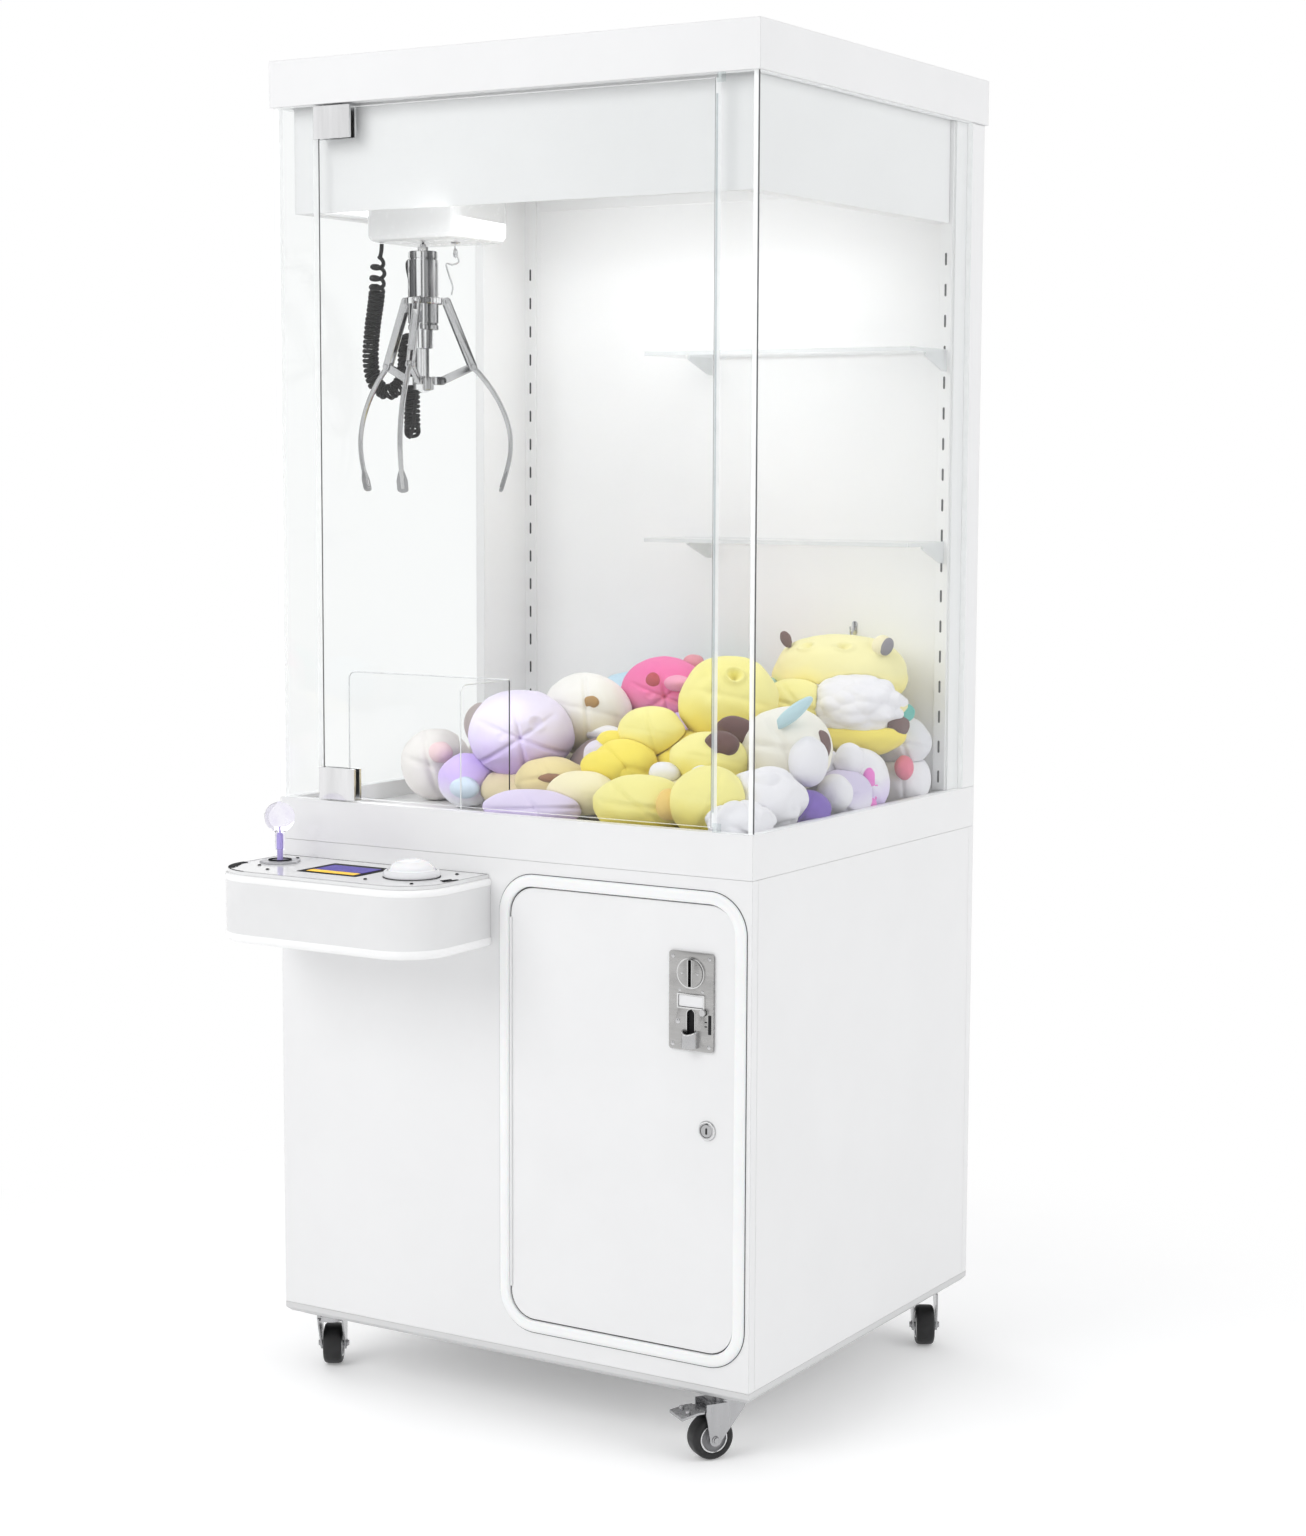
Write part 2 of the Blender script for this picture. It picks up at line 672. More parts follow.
# ---- Cabinet ----
def dress_cabinet():
    dress(board("laminate"), "side_panel_left", "side_panel_right", "front_panel", "rear_panel", "deck_band",
          "rear_frame",
          "top_cap", "valance")
    dress(board("base_board", shade(WHITE, 0.80), 0.5, 0.0006), "base_plate")
    dress(board("deck_board", shade(WHITE, 0.90), 0.45), "play_deck")
    dress(powder_coat("door_coat", shade(WHITE, 1.01), 0.40, 0.0008), "coin_door")
    glass = {"tint": (0.988, 0.992, 0.991), "share": 0.7}
    dress(pane("float_glass_side", "x", **glass), "glass_left", "glass_right")
    dress(pane("float_glass_front", "y", **glass), "glass_door", "glass_strip_left", "glass_strip_right")
    dress(pane("shelf_acrylic", "z", (0.985, 0.99, 0.992), edge=(0.74, 0.76, 0.77), edge_clear=0.35, lit=0.04),
          "shelf_upper", "shelf_lower")
    dress(clear_plastic("smoked_acrylic", (0.80, 0.84, 0.86), smudge=0.08), "prize_flap")
    dress(metal("galvanised", (0.62, 0.63, 0.64), 0.35, (1, 1, 1), 0.06, 0.0005, 40), "prize_chute", "coin_box")
    dress(metal("rail_aluminium", (0.70, 0.71, 0.72), 0.30, (1, 0.05, 1), 0.04, 0.0005), "gantry_frame")
    dress(metal("bridge_aluminium", (0.66, 0.67, 0.68), 0.30, (0.05, 1, 1), 0.04, 0.0005), "gantry_bridge")
    dress(metal("clamp_chrome", (0.86, 0.86, 0.87), 0.12, (1, 1, 0.1), 0.01, 0.0006), "hinge_clamp_upper",
          "hinge_clamp_lower")
    dress(plastic("carriage_shell", shade(WHITE, 0.99), 0.25, 0.03, 0.0015), "gantry_carriage")


SLOT_PITCH, SLOT_W, SLOT_H = 0.0445, 0.0030, 0.0180
SLOT_REACH = (SLOT_H - SLOT_W) / 2
RAILS = (("left", -0.3578), ("right", 0.3698))
HOOK = (0.2265, 1.0875)
STRIP_HALF = 0.005        # half the height of the apron's light strips


def make_rail_slots():
    """Dark slots of the two shelf rails, as shallow plugs just proud of the rails."""
    low, high = box("rear_frame")
    dark = rubber("slot_shadow", (0.03, 0.03, 0.032), 0.8)
    for name, x in RAILS:
        slots = []
        z = low.z + 0.020
        while z < high.z - 0.16:
            outline = capsule((x, z - SLOT_REACH), (x, z + SLOT_REACH), SLOT_W / 2, 6)
            slots.append(prism("slot", [outline], RAIL_FACE - 0.0004, RAIL_FACE + 0.0008, "y"))
            z += SLOT_PITCH
        give(join(f"rail_slots_{name}", *slots), dark, "cabinet")


def make_hook():
    """Small chrome hook on the rear wall."""
    face = WALL_FACE
    x, z = HOOK
    plate = prism("plate", [capsule((x, z - 0.006), (x, z + 0.006), 0.0045)], face - 0.0018, face, "y", 0.0005)
    bend = [(x, face - 0.001, z - 0.002), (x, face - 0.008, z - 0.005), (x, face - 0.013, z - 0.009),
            (x, face - 0.015, z - 0.004), (x, face - 0.015, z + 0.003)]
    hook = tube("hook", spline(bend, 0.001), 0.0014, 12)
    give(join("wall_hook", plate, hook), metal("hook_chrome", CHROME, 0.15), "cabinet")


def make_header_seam():
    """Edge of the light header across the top of the rear wall, with its end clip."""
    low, high = box("rear_frame")
    left = low.x + 0.030
    header = prism("wall_header", [round_rect(left + 0.019, high.x - 0.034, 1.727, high.z - 0.004, 0.001, 3)],
                   WALL_FACE - 0.0022, WALL_FACE + 0.0001, "y", 0.0006)
    give(header, board("header_board", shade(WHITE, 0.97)), "cabinet")


def make_interior_lights():
    """Light strips behind the lower edge of the apron."""
    low, high = box("valance")
    z = low.z + 0.012
    lit = glow("strip_light", (1.0, 1.0, 1.0), 1.6)
    front = prism("apron_light_front",
                  [round_rect(low.x + 0.03, high.x - 0.03, z - STRIP_HALF, z + STRIP_HALF, 0.002, 3)],
                  low.y + 0.0042, low.y + 0.0082, "y", 0.0008)
    give(front, lit, "cabinet")
    side = high.x - 0.0242
    for name, inner, outer in (("right", side - 0.004, side), ("left", -side, -side + 0.004)):
        strip = prism(f"apron_light_{name}",
                      [round_rect(low.y + 0.02, 0.20, z - STRIP_HALF, z + STRIP_HALF, 0.002, 3)], inner, outer, "x",
                      0.0008)
        give(strip, lit, "cabinet")


def make_glass_trim():
    """Clear clips at the foot of the fixed strip, and the thin seals along the door's edge."""
    low, high = box("glass_door")
    clip = clear_plastic("clip_acrylic", (0.93, 0.95, 0.95))
    strip_low, strip_high = box("glass_strip_right")
    for name, z in (("foot", strip_low.z), ("head", strip_high.z - 0.012)):
        piece = prism(f"strip_clip_{name}",
                      [round_rect(strip_low.x - 0.001, strip_low.x + 0.012, strip_low.y - 0.003, strip_low.y - 0.0003,
                                  0.001, 3)],
                      z, z + 0.012, "z", 0.0004)
        give(piece, clip, "cabinet")
    seal = clear_plastic("door_seal_vinyl", (0.86, 0.88, 0.89), smudge=0.1)
    y0, y1 = low.y + 0.001, high.y - 0.001
    strip = prism("door_seal", [round_rect(high.x + 0.0002, high.x + 0.0030, y0, y1, 0.0008, 3)], low.z + 0.02,
                  high.z - 0.02, "z")
    give(strip, seal, "glass_door")


def make_guard():
    """Bent acrylic guard round the chute's mouth, with rounded upper corners and a pale cut edge."""
    low, high = box("chute_guard")
    thick, r, z0 = 0.0030, 0.012, low.z
    quarter = [(r - r * math.cos(a), r * math.sin(a)) for a in np.linspace(0, math.pi / 2, 9)]
    back, side = ([(start, z0)] + [(start + a, high.z - r + b) for a, b in quarter] + [(end, high.z), (end, z0)]
                  for start, end in ((low.x, high.x - thick), (low.y, high.y)))
    guard = join("guard_sheet", prism("back", [back], high.y - thick, high.y, "y"),
                 prism("side", [side], high.x - thick, high.x, "x"))
    guard.visible_shadow = False
    s = Shader("guard_acrylic")
    s.set(Transmission_Weight=1.0, IOR=1.01, Roughness=0.0)
    s.coat(s.noise(12, 3), (0.965, 0.97, 0.97), (0.99, 0.99, 0.99))
    stand_in(guard, s.material, "cabinet", "chute_guard")
    x0, x1, y0, y1, z1 = low.x + 0.0012, high.x - 0.0012, low.y + 0.0012, high.y - 0.0012, high.z - 0.0008
    line = [(x0, y1, z0)] + [(x0 + a, y1, z1 - r + b) for a, b in quarter]
    line += [(x1 - 0.004, y1, z1), (x1 - 0.001, y1 - 0.001, z1), (x1, y1 - 0.004, z1)]
    line += [(x1, y0 + a, z1 - r + b) for a, b in quarter[::-1]] + [(x1, y0, z0)]
    give(tube("guard_edges", line, 0.0009, 8), plastic("guard_edge", (0.62, 0.63, 0.64), 0.3), "cabinet")


def make_glass_edges():
    """Fine dark lines where the front glass sheets end."""
    dark = matte("edge_dark", (0.16, 0.16, 0.165))
    (door_low, door_high), (right_low, right_high) = box("glass_door"), box("glass_right")
    door = ("glass_door", "glass_door", door_low.z, door_high.z)
    right = ("cabinet", "glass_right", right_low.z + 0.001, right_high.z)
    for name, x, left, wide, y, near, far, (body, node, z0, z1) in (
            ("door_edge_hinge", door_low.x, -0.0003, 0.0008, door_high.y, -0.0015, 0.0003, door),
            ("door_edge_free", door_high.x, -0.0004, 0.0002, door_low.y, -0.0001, 0.0006, door),
            ("corner_edge", right_high.x, -0.0016, 0.0002, right_low.y, -0.0002, 0.0012, right)):
        outline = round_rect(x + left, x + wide, y + near, y + far, 0.0003, 2)
        give(prism(name, [outline], z0, z1, "z"), dark, body)


# ---- Console ----
LIGHT_H, BAND_IN = 0.0140, 0.0010   # the light bands' height, and how far the wall stands behind them
CORNER = 0.070                      # radius of the console's front corners
BALL_SIZE, BALL_LIFT = 1.08, 0.0090


def console_outline(inset):
    low, high = box("console_housing")
    x0, x1, y0, y1 = low.x + inset, high.x - inset, low.y + inset, high.y
    r = CORNER - inset
    return arc(x0 + r, y0 + r, r, 180, 270, 20) + arc(x1 - r, y0 + r, r, 270, 360, 20) + [(x1, y1), (x0, y1)]


def make_console():
    low, high = box("console_housing")
    z0, z1 = low.z, high.z
    milk = satin_milk("console_milk", Roughness=0.28, Emission_Strength=0.08)
    rounding = [(0.0004, 0.0075), (0.0012, 0.0045), (0.0028, 0.0020), (0.0052, 0.0005), (0.0080, 0.0)]
    lower_light = loft("console_light_lower", [(z0 + dz, console_outline(inset)) for dz, inset in rounding]
                       + [(z0 + LIGHT_H - 0.0022, console_outline(0.0)),
                          (z0 + LIGHT_H - 0.0006, console_outline(0.0010)), (z0 + LIGHT_H, console_outline(0.0030))])
    stand_in(lower_light, milk, "cabinet", "console_housing")
    shell = loft("console_shell", [(z0 + LIGHT_H - 0.001, console_outline(BAND_IN)),
                                   (z1 - LIGHT_H + 0.005, console_outline(BAND_IN))])
    stand_in(shell, plastic("console_gloss", shade(WHITE, 0.93), 0.30, 0.008), "cabinet", "console_housing")
    top = z1 - LIGHT_H + 0.004
    upper = [(top, 0.0030), (top + 0.0006, 0.0010), (top + 0.0022, 0.0), (z1 - 0.0040, 0.0), (z1 - 0.0018, 0.0010),
             (z1 - 0.0004, 0.0030), (z1 + 0.0002, 0.0050)]
    upper_light = loft("console_light_upper", [(z, console_outline(inset)) for z, inset in upper])
    stand_in(upper_light, milk, "cabinet", "console_housing")
    dress(plastic("cover_gloss", shade(WHITE, 0.94), 0.12, 0.01, 0.0012), "console_cover")
    make_console_top()
    make_display()
    make_joystick()
    make_button()
    make_console_screws()


def make_console_top():
    """Dark gasket near the cover's rounded front corners, and the fine joint round its edge."""
    low, high = box("console_housing")
    z = box("console_cover")[0].z
    dark = matte("gasket_black", BLACK)
    pieces = []
    for side, start, end, inset, wide in (("left", 172, 226, 0.0044, 0.0098), ("left", 224, 266, 0.0052, 0.0012),
                                          ("left", 194, 216, 0.0150, 0.0024),
                                          ("right", 334, 359, 0.0070, 0.0046), ("right", 336, 356, 0.0160, 0.0042)):
        x, y = (low.x + CORNER, low.y + CORNER) if side == "left" else (high.x - CORNER, low.y + CORNER + 0.034)
        r0, r1 = CORNER - inset, CORNER - inset - wide
        outline = arc(x, y, r0, start, end, 20) + arc(x, y, r1, end, start, 20)
        pieces.append(prism("trim", [outline], z + 0.0051, z + 0.0058, "z", 0.0002))
    give(join("console_gasket", *pieces), dark, "cabinet")
    joint_line = prism("console_joint", [console_outline(0.0060), console_outline(0.0066)], z + 0.0050, z + 0.0053,
                       "z")
    give(joint_line, plastic("joint_grey", (0.30, 0.30, 0.31), 0.5), "cabinet")


def make_display():
    low, high = box("display_unit")
    dress(plastic("display_bezel", (0.02, 0.02, 0.022), 0.15, 0.02), "display_unit")
    x0, x1, y0, y1 = low.x + 0.011, high.x - 0.011, low.y + 0.009, high.y - 0.011
    top = COVER_TOP
    bezel = prism("display_frame", [round_rect(low.x, high.x, low.y, high.y, 0.002, 4)], top - 0.0010, top + 0.0004,
                  "z", 0.0003)
    give(bezel, matte("display_glass", (0.010, 0.010, 0.012)), "cabinet")
    screen = prism("display_screen", [round_rect(x0, x1, y0, y1, 0.001, 3)], top + 0.0002, top + 0.0007, "z")
    s = Shader("screen_picture")
    s.set(Roughness=0.4, Emission_Strength=0.6, Specular_IOR_Level=0.12)
    bars = s.node("ValToRGB")
    bars.color_ramp.interpolation = "CONSTANT"
    stops = ((0.0, (0.92, 0.55, 0.04)), (0.13, (0.03, 0.02, 0.05)), (0.17, (0.85, 0.52, 0.06)),
             (0.24, (0.04, 0.03, 0.16)),
             (0.30, (0.07, 0.05, 0.30)), (0.93, (0.02, 0.02, 0.03)))
    for position, colour in stops[2:]:
        bars.color_ramp.elements.new(position).color = (*colour, 1)
    for element, (position, colour) in zip((bars.color_ramp.elements[0], bars.color_ramp.elements[-1]),
                                           (stops[0], stops[-1])):
        element.position = position
        element.color = (*colour, 1)
    s.link(s.add("SeparateXYZ", s.add("TexCoord", out="Generated"), out="Y"), bars.inputs["Fac"])
    uneven = s.ramp(s.noise(260, 2), (0.5, 0.5, 0.55), (1, 1, 1))
    tint = s.add("MixRGB", 0.6, bars.outputs["Color"], uneven, blend_type="MULTIPLY")
    for socket in ("Emission Color", "Base Color"):
        s.link(tint, s.principled.inputs[socket])
    give(screen, s.material, "cabinet")


def make_joystick():
    """Clear bubble ball on a clear neck over a lavender core and a steel shaft."""
    pivot = Vector(joint("joystick_fore")["pos_m"])
    low, high = box("joystick_lever")
    radius, lift = (high.x - low.x) / 2 * BALL_SIZE, BALL_LIFT
    centre = high.z - radius + lift
    flange_high = box("joystick_base")[1]
    profile = [(0, centre - 0.046), (0.0066, centre - 0.046), (0.0068, centre - 0.022)]
    start = math.degrees(math.asin(-0.92))
    profile += [(radius * math.cos(math.radians(a)), centre + radius * math.sin(math.radians(a)))
                for a in np.linspace(start, 88, 28)] + [(0, high.z + lift)]
    ball = lathe("joystick_ball", profile, 64, at=(pivot.x, pivot.y, 0))
    s = Shader("bubble_acrylic")
    s.set(Transmission_Weight=1.0, IOR=1.13, Roughness=0.0)
    s.coat(s.noise(70, 3), (0.84, 0.81, 0.93), (0.97, 0.96, 1.0))
    bubbles = s.node("TexVoronoi")
    bubbles.inputs["Scale"].default_value = 95
    s.link(s.add("TexCoord", out="Object"), bubbles.inputs["Vector"])
    s.bump(bubbles.outputs["Distance"], 0.6, 0.0012)
    give(ball, s.material, "lever")
    core = lathe("joystick_core", [(0, pivot.z + 0.020), (0.0042, pivot.z + 0.020), (0.0042, centre - 0.026),
                                   (0.0030, centre - 0.023),
                                   (0.0012, centre - 0.021), (0.0012, centre - 0.012), (0, centre - 0.012)], 32,
                 at=(pivot.x, pivot.y, 0))
    give(core, plastic("core_lavender", (0.45, 0.38, 0.78), 0.3), "lever")
    shaft = lathe("joystick_shaft", [(0, pivot.z - 0.008), (0.0044, pivot.z - 0.008), (0.0044, pivot.z + 0.0205),
                                     (0, pivot.z + 0.0205)],
                  32, at=(pivot.x, pivot.y, 0))
    give(shaft, metal("shaft_steel", (0.6, 0.6, 0.62), 0.2), "lever")
    for piece in (ball, core, shaft):
        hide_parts("joystick_lever")
    z = flange_high.z
    disc = [(0.0134, z + 0.0004), (0.0165, z + 0.0004), (0.0168, z + 0.0012), (0.0160, z + 0.0017),
            (0.0134, z + 0.0019), (0.0134, z + 0.0004)]
    boot = lathe("joystick_dust_disc", disc, 48, at=(pivot.x, pivot.y, 0))
    give(boot, matte("disc_black", BLACK), "cabinet")
    dress(plastic("flange_grey", (0.50, 0.50, 0.52), 0.35, 0.05, 0.0004), "joystick_base")
    dress(metal("gimbal_zinc", (0.55, 0.56, 0.58), 0.35), "joystick_gimbal")


def make_button():
    low, high = box("drop_button")
    at = middle("drop_button")
    r = (high.x - low.x) / 2
    cover = box("console_cover")[1].z
    z = cover + 0.0055
    top = high.z - 0.0045
    profile = [(0, low.z), (0.0150, low.z), (0.0150, z), (r - 0.001, z), (r, z + 0.0016), (r, z + 0.0030),
               (r - 0.0012, z + 0.0046)]
    cap, foot = r - 0.0030, z + 0.0050
    profile += [(cap * math.cos(a), foot + (top - foot) * math.sin(a) ** 0.9)
                for a in np.linspace(0.02, math.pi / 2 - 0.04, 20)]
    profile += [(0, top)]
    button = lathe("drop_button_dome", profile, 72, at=(at.x, at.y, 0))
    s = Shader("button_milk")
    s.set(Coat_Weight=0.6, Coat_Roughness=0.05, Subsurface_Weight=0.15, Subsurface_Scale=0.01, Emission_Strength=0.06,
          Emission_Color=(1, 1, 1))
    s.coat(s.noise(30, 3), (0.87, 0.87, 0.89), (0.90, 0.90, 0.915))
    s.polish(s.noise(90, 3), 0.12, 0.22)
    stand_in(button, s.material, "button", "drop_button")
    ring = lathe("button_bezel", [(r + 0.0008, cover + 0.0002), (r + 0.0050, cover + 0.0002),
                                  (r + 0.0062, cover + 0.0018), (r + 0.0064, cover + 0.0052),
                                  (r + 0.0054, cover + 0.0082), (r + 0.0034, cover + 0.0098),
                                  (r + 0.0014, cover + 0.0100), (r + 0.0008, cover + 0.0094),
                                  (r + 0.0008, cover + 0.0002)], 72, at=(at.x, at.y, 0))
    give(ring, plastic("bezel_white", (0.84, 0.84, 0.86), 0.18), "cabinet")
    base = lathe("button_gasket", [(r - 0.008, cover + 0.0002), (r + 0.0070, cover + 0.0002),
                                   (r + 0.0070, cover + 0.0007), (r - 0.008, cover + 0.0007),
                                   (r - 0.008, cover + 0.0002)], 72, at=(at.x, at.y, 0))
    give(base, matte("button_gasket_black", BLACK), "cabinet")


def make_console_screws():
    z = COVER_TOP
    spots = [(-0.345, -0.360), (-0.345, -0.275), (-0.140, -0.385), (-0.062, -0.385), (-0.310, -0.385),
             (-0.062, -0.280)]
    head = matte("screw_black", (0.02, 0.02, 0.022))
    for i, (x, y) in enumerate(spots):
        screw = lathe(f"console_screw_{i}",
                      [(0, z + 0.0002), (0.0027, z + 0.0002), (0.0026, z + 0.0008), (0.0016, z + 0.0015),
                       (0, z + 0.0017)], 24, at=(x, y, 0))
        give(screw, head, "cabinet")


# ---- Coin door ----
FACE_Y = box("front_panel")[0].y - 0.0035
REJECT = (middle("coin_reject_button").x, middle("coin_reject_button").z)


def make_door_frame():
    """Crowned light frame round the coin door, with a dark seal inside it and a joint line outside it."""
    low, high = box("door_light_frame")
    front = box("front_panel")[0].y
    width = 0.0165
    x0, x1, z0, z1 = low.x + width / 2, high.x - width / 2, low.z + width / 2, high.z - width / 2
    path = round_rect(x0, x1, z0, z1, 0.0375 + 0.002 + width / 2, 24)
    crown = front - 0.0060
    half = width / 2
    section = [(-half, front - 0.0002), (-half, crown + 0.0030), (-half + 0.0008, crown + 0.0012),
               (-half + 0.0028, crown + 0.0002), (0.0, crown),
               (half - 0.0050, crown + 0.0004), (half - 0.0026, crown + 0.0014), (half - 0.0010, crown + 0.0030),
               (half, crown + 0.0052), (half, front - 0.0002)]
    frame_piece = sweep_ring("door_frame_crown", path, section)
    milk = satin_milk("frame_milk", Roughness=0.3, Emission_Strength=0.05, Subsurface_Weight=0.1,
                      Subsurface_Scale=0.01)
    stand_in(frame_piece, milk, "cabinet", "door_light_frame")
    dark = rubber("door_seal_rubber", (0.05, 0.05, 0.052), 0.6)
    line = sweep_ring("door_frame_joint", path,
                      [(half + 0.0001, front - 0.0002), (half + 0.0001, front - 0.0009),
                       (half + 0.0009, front - 0.0005), (half + 0.0010, front - 0.0002)])
    give(line, dark, "cabinet")
    seal = sweep_ring("door_frame_seal", path,
                      [(-half - 0.0015, front + 0.0040), (-half - 0.0015, front + 0.0026),
                       (-half - 0.0001, front + 0.0020), (-half - 0.0001, front + 0.0040)])
    give(seal, dark, "cabinet")


def make_coin_mech():
    low, high = box("coin_mech")
    face = FACE_Y
    cx = (low.x + high.x) / 2
    x0, x1, z0, z1 = low.x, high.x, low.z, high.z
    mid = (z0 + z1) / 2
    steel = metal("mech_steel", (0.52, 0.515, 0.51), 0.26, (0.06, 1, 1), 0.10, 0.0, 160)
    bright = metal("mech_rim", (0.80, 0.80, 0.80), 0.16)
    slot_z = mid + 0.038
    slot = round_rect(cx - 0.0024, cx + 0.0024, slot_z - 0.018, slot_z + 0.018, 0.001, 3)
    key = capsule((cx, z0 + 0.0200), (cx, z0 + 0.0490), 0.0058, 10)
    hole = circle(*REJECT, 0.0051, 24)
    window = round_rect(cx - 0.019, cx + 0.019, mid - 0.008, mid + 0.008, 0.001, 3)
    plate = prism("mech_plate", [round_rect(x0, x1, z0, z1, 0.004, 6), slot, key, hole, window], face, face + 0.0036,
                  "y", 0.0007)
    entry = prism("mech_entry", [circle(cx, slot_z, 0.0188, 72), slot], face - 0.0039, face + 0.0005, "y", 0.0012)
    piece = join("coin_mech_face", plate, entry)
    stand_in(piece, steel, "coin_door", "coin_mech")
    rim = prism("mech_entry_rim", [circle(cx, slot_z, 0.0210, 72), circle(cx, slot_z, 0.0190, 72)], face - 0.0022,
                face + 0.0005, "y", 0.0007)
    lips = prism("mech_slot_lips", [round_rect(cx - 0.0034, cx + 0.0034, slot_z - 0.0186, slot_z + 0.0186, 0.0016, 3),
                                    slot], face - 0.0046, face - 0.0034, "y", 0.0003)
    sill = prism("mech_window_rim", [round_rect(cx - 0.0212, cx + 0.0212, mid - 0.0102, mid + 0.0102, 0.0016, 3),
                                     window], face - 0.0014, face + 0.0004, "y", 0.0005)
    surround = prism("mech_key_rim", [capsule((cx, z0 + 0.0200), (cx, z0 + 0.0490), 0.0070, 10), key], face - 0.0010,
                     face + 0.0004, "y", 0.0004)
    give(join("coin_mech_rims", rim, lips, sill, surround), bright, "coin_door")
    back = prism("mech_body", [round_rect(x0 + 0.009, x1 - 0.009, z0 + 0.009, z1 - 0.009, 0.003)], face + 0.018,
                 high.y, "y", 0.001)
    stand_in(back, plastic("mech_body_black", (0.03, 0.03, 0.032), 0.5), "coin_door", "coin_mech")
    dark = rubber("mech_dark", (0.008, 0.008, 0.009), 0.8)
    liner = prism("mech_throat", [round_rect(x0 + 0.0095, x1 - 0.0095, z0 + 0.0095, z1 - 0.0095, 0.003)],
                  face + 0.0050, face + 0.0175, "y")
    notch = prism("mech_notch", [round_rect(x1 - 0.0075, x1 - 0.0028, z0 + 0.024, z0 + 0.050, 0.0008, 3)],
                  face - 0.0002, face + 0.0004, "y")
    mark_a = prism("mark", [round_rect(x1 - 0.0130, x1 - 0.0092, z0 + 0.0395, z0 + 0.0410, 0.0004, 2)], face - 0.0003,
                   face + 0.0003, "y")
    mark_b = prism("mark", [round_rect(x1 - 0.0130, x1 - 0.0092, z0 + 0.0335, z0 + 0.0350, 0.0004, 2)], face - 0.0003,
                   face + 0.0003, "y")
    give(join("mech_shadows", liner, notch, mark_a, mark_b), dark, "coin_door")
    label = prism("mech_window", [round_rect(cx - 0.0187, cx + 0.0187, mid - 0.0077, mid + 0.0077, 0.001, 3)],
                  face - 0.0002, face + 0.0030, "y", 0.0006)
    give(label, plastic("window_milk", (0.86, 0.86, 0.87), 0.15), "coin_door")
    screws = [dome_head("s", x, face + 0.0002, z, 0.0030, 0.0013) for x in (x0 + 0.006, x1 - 0.006)
              for z in (z0 + 0.007, z1 - 0.007)]
    screws += [dome_head("s", cx + side * 0.012, face - 0.0038, slot_z, 0.0018, 0.0008) for side in (-1, 1)]
    screws += [dome_head("s", cx - 0.020, face + 0.0002, z0 + 0.038, 0.0038, 0.0016),
               dome_head("s", cx - 0.0175, face + 0.0002, mid + 0.0142, 0.0024, 0.0010),
               dome_head("s", cx + 0.0175, face + 0.0002, mid + 0.0142, 0.0024, 0.0010)]
    give(join("mech_screws", *screws), metal("screw_chrome", CHROME, 0.15), "coin_door")
    make_return_cup(cx, face, z0, bright)


def make_return_cup(cx, face, z0, bright):
    """Cup under the keyhole: a curved wall with a slanted mouth and a bright rolled rim."""
    bm = bmesh.new()
    rows, lip = [], []
    for depth in (0.0, 0.0016):
        row = []
        for i in range(25):
            t = math.pi * i / 24
            x, y = cx + (0.0122 - depth) * math.cos(t), face - (0.0135 - depth) * math.sin(t)
            top = z0 + 0.0225 + 0.004 * math.cos(t) ** 2
            row.append((bm.verts.new((x, y, z0 + 0.0045 + depth)), bm.verts.new((x, y, top))))
            if not depth:
                lip.append((cx + 0.0116 * math.cos(t), face - 0.0129 * math.sin(t), top))
        rows.append(row)
    outer, inner = rows
    for i in range(24):
        bm.faces.new((outer[i][0], outer[i + 1][0], outer[i + 1][1], outer[i][1]))
        bm.faces.new((inner[i][0], inner[i][1], inner[i + 1][1], inner[i + 1][0]))
        bm.faces.new((outer[i][1], outer[i + 1][1], inner[i + 1][1], inner[i][1]))
    bm.faces.new([v[0] for v in outer])
    bm.faces.new([v[0] for v in inner])
    for end in (0, -1):
        bm.faces.new((outer[end][0], outer[end][1], inner[end][1], inner[end][0]))
    cup = add_mesh("coin_return_cup", bm)
    stand_in(cup, metal("cup_chrome", (0.55, 0.55, 0.56), 0.18), "coin_door", "coin_mech")
    give(tube("coin_return_rim", lip, 0.0011, 10), bright, "coin_door")


def make_lock():
    low = box("door_lock")[0]
    pos = joint("lock_turn")["pos_m"]
    x, z = pos[0], pos[2]
    face = low.y
    ring = lathe("lock_ring", [(0.0094, 0.0022), (0.0126, 0.0), (0.0137, 0.0012), (0.0134, 0.0026), (0.0112, 0.0046),
                               (0.0094, 0.0050), (0.0094, 0.0022)],
                 64, "y", (x, face + 0.0040, z))
    give(ring, metal("lock_chrome", (0.62, 0.62, 0.63), 0.16), "coin_door")
    shadow = lathe("lock_shadow", [(0.0085, 0.0), (0.0096, 0.0), (0.0096, 0.0006), (0.0085, 0.0006), (0.0085, 0.0)],
                   48, "y", (x, face + 0.0006, z))
    key = prism("lock_keyway", [capsule((x, z - 0.0034), (x, z + 0.0026), 0.0013, 6)], face - 0.0004, face + 0.0002,
                "y")
    give(key, rubber("keyway_dark", (0.01, 0.01, 0.01), 0.8), "lock")
    give(shadow, bpy.data.materials["keyway_dark"], "lock")
    dress(metal("plug_steel", (0.55, 0.55, 0.56), 0.22, (1, 1, 1), 0.03, 0.0006), "door_lock")
    dress(metal("reject_chrome", CHROME, 0.14, (1, 1, 1), 0.02, 0.0006), "coin_reject_button")


# ---- Claw ----
ARMS = {"front": -68.6, "right": 51.4, "left": 171.4}
HUB_PIVOT, ELBOW, COLLAR_PIVOT = (0.0270, 1.4490), (0.0730, 1.4700), (0.0340, 1.5625)
TIP, BELLY = (0.1170, 1.2960), (0.1310, 1.3590)


PAD_ROWS, PAD_SIDES = 20, 20


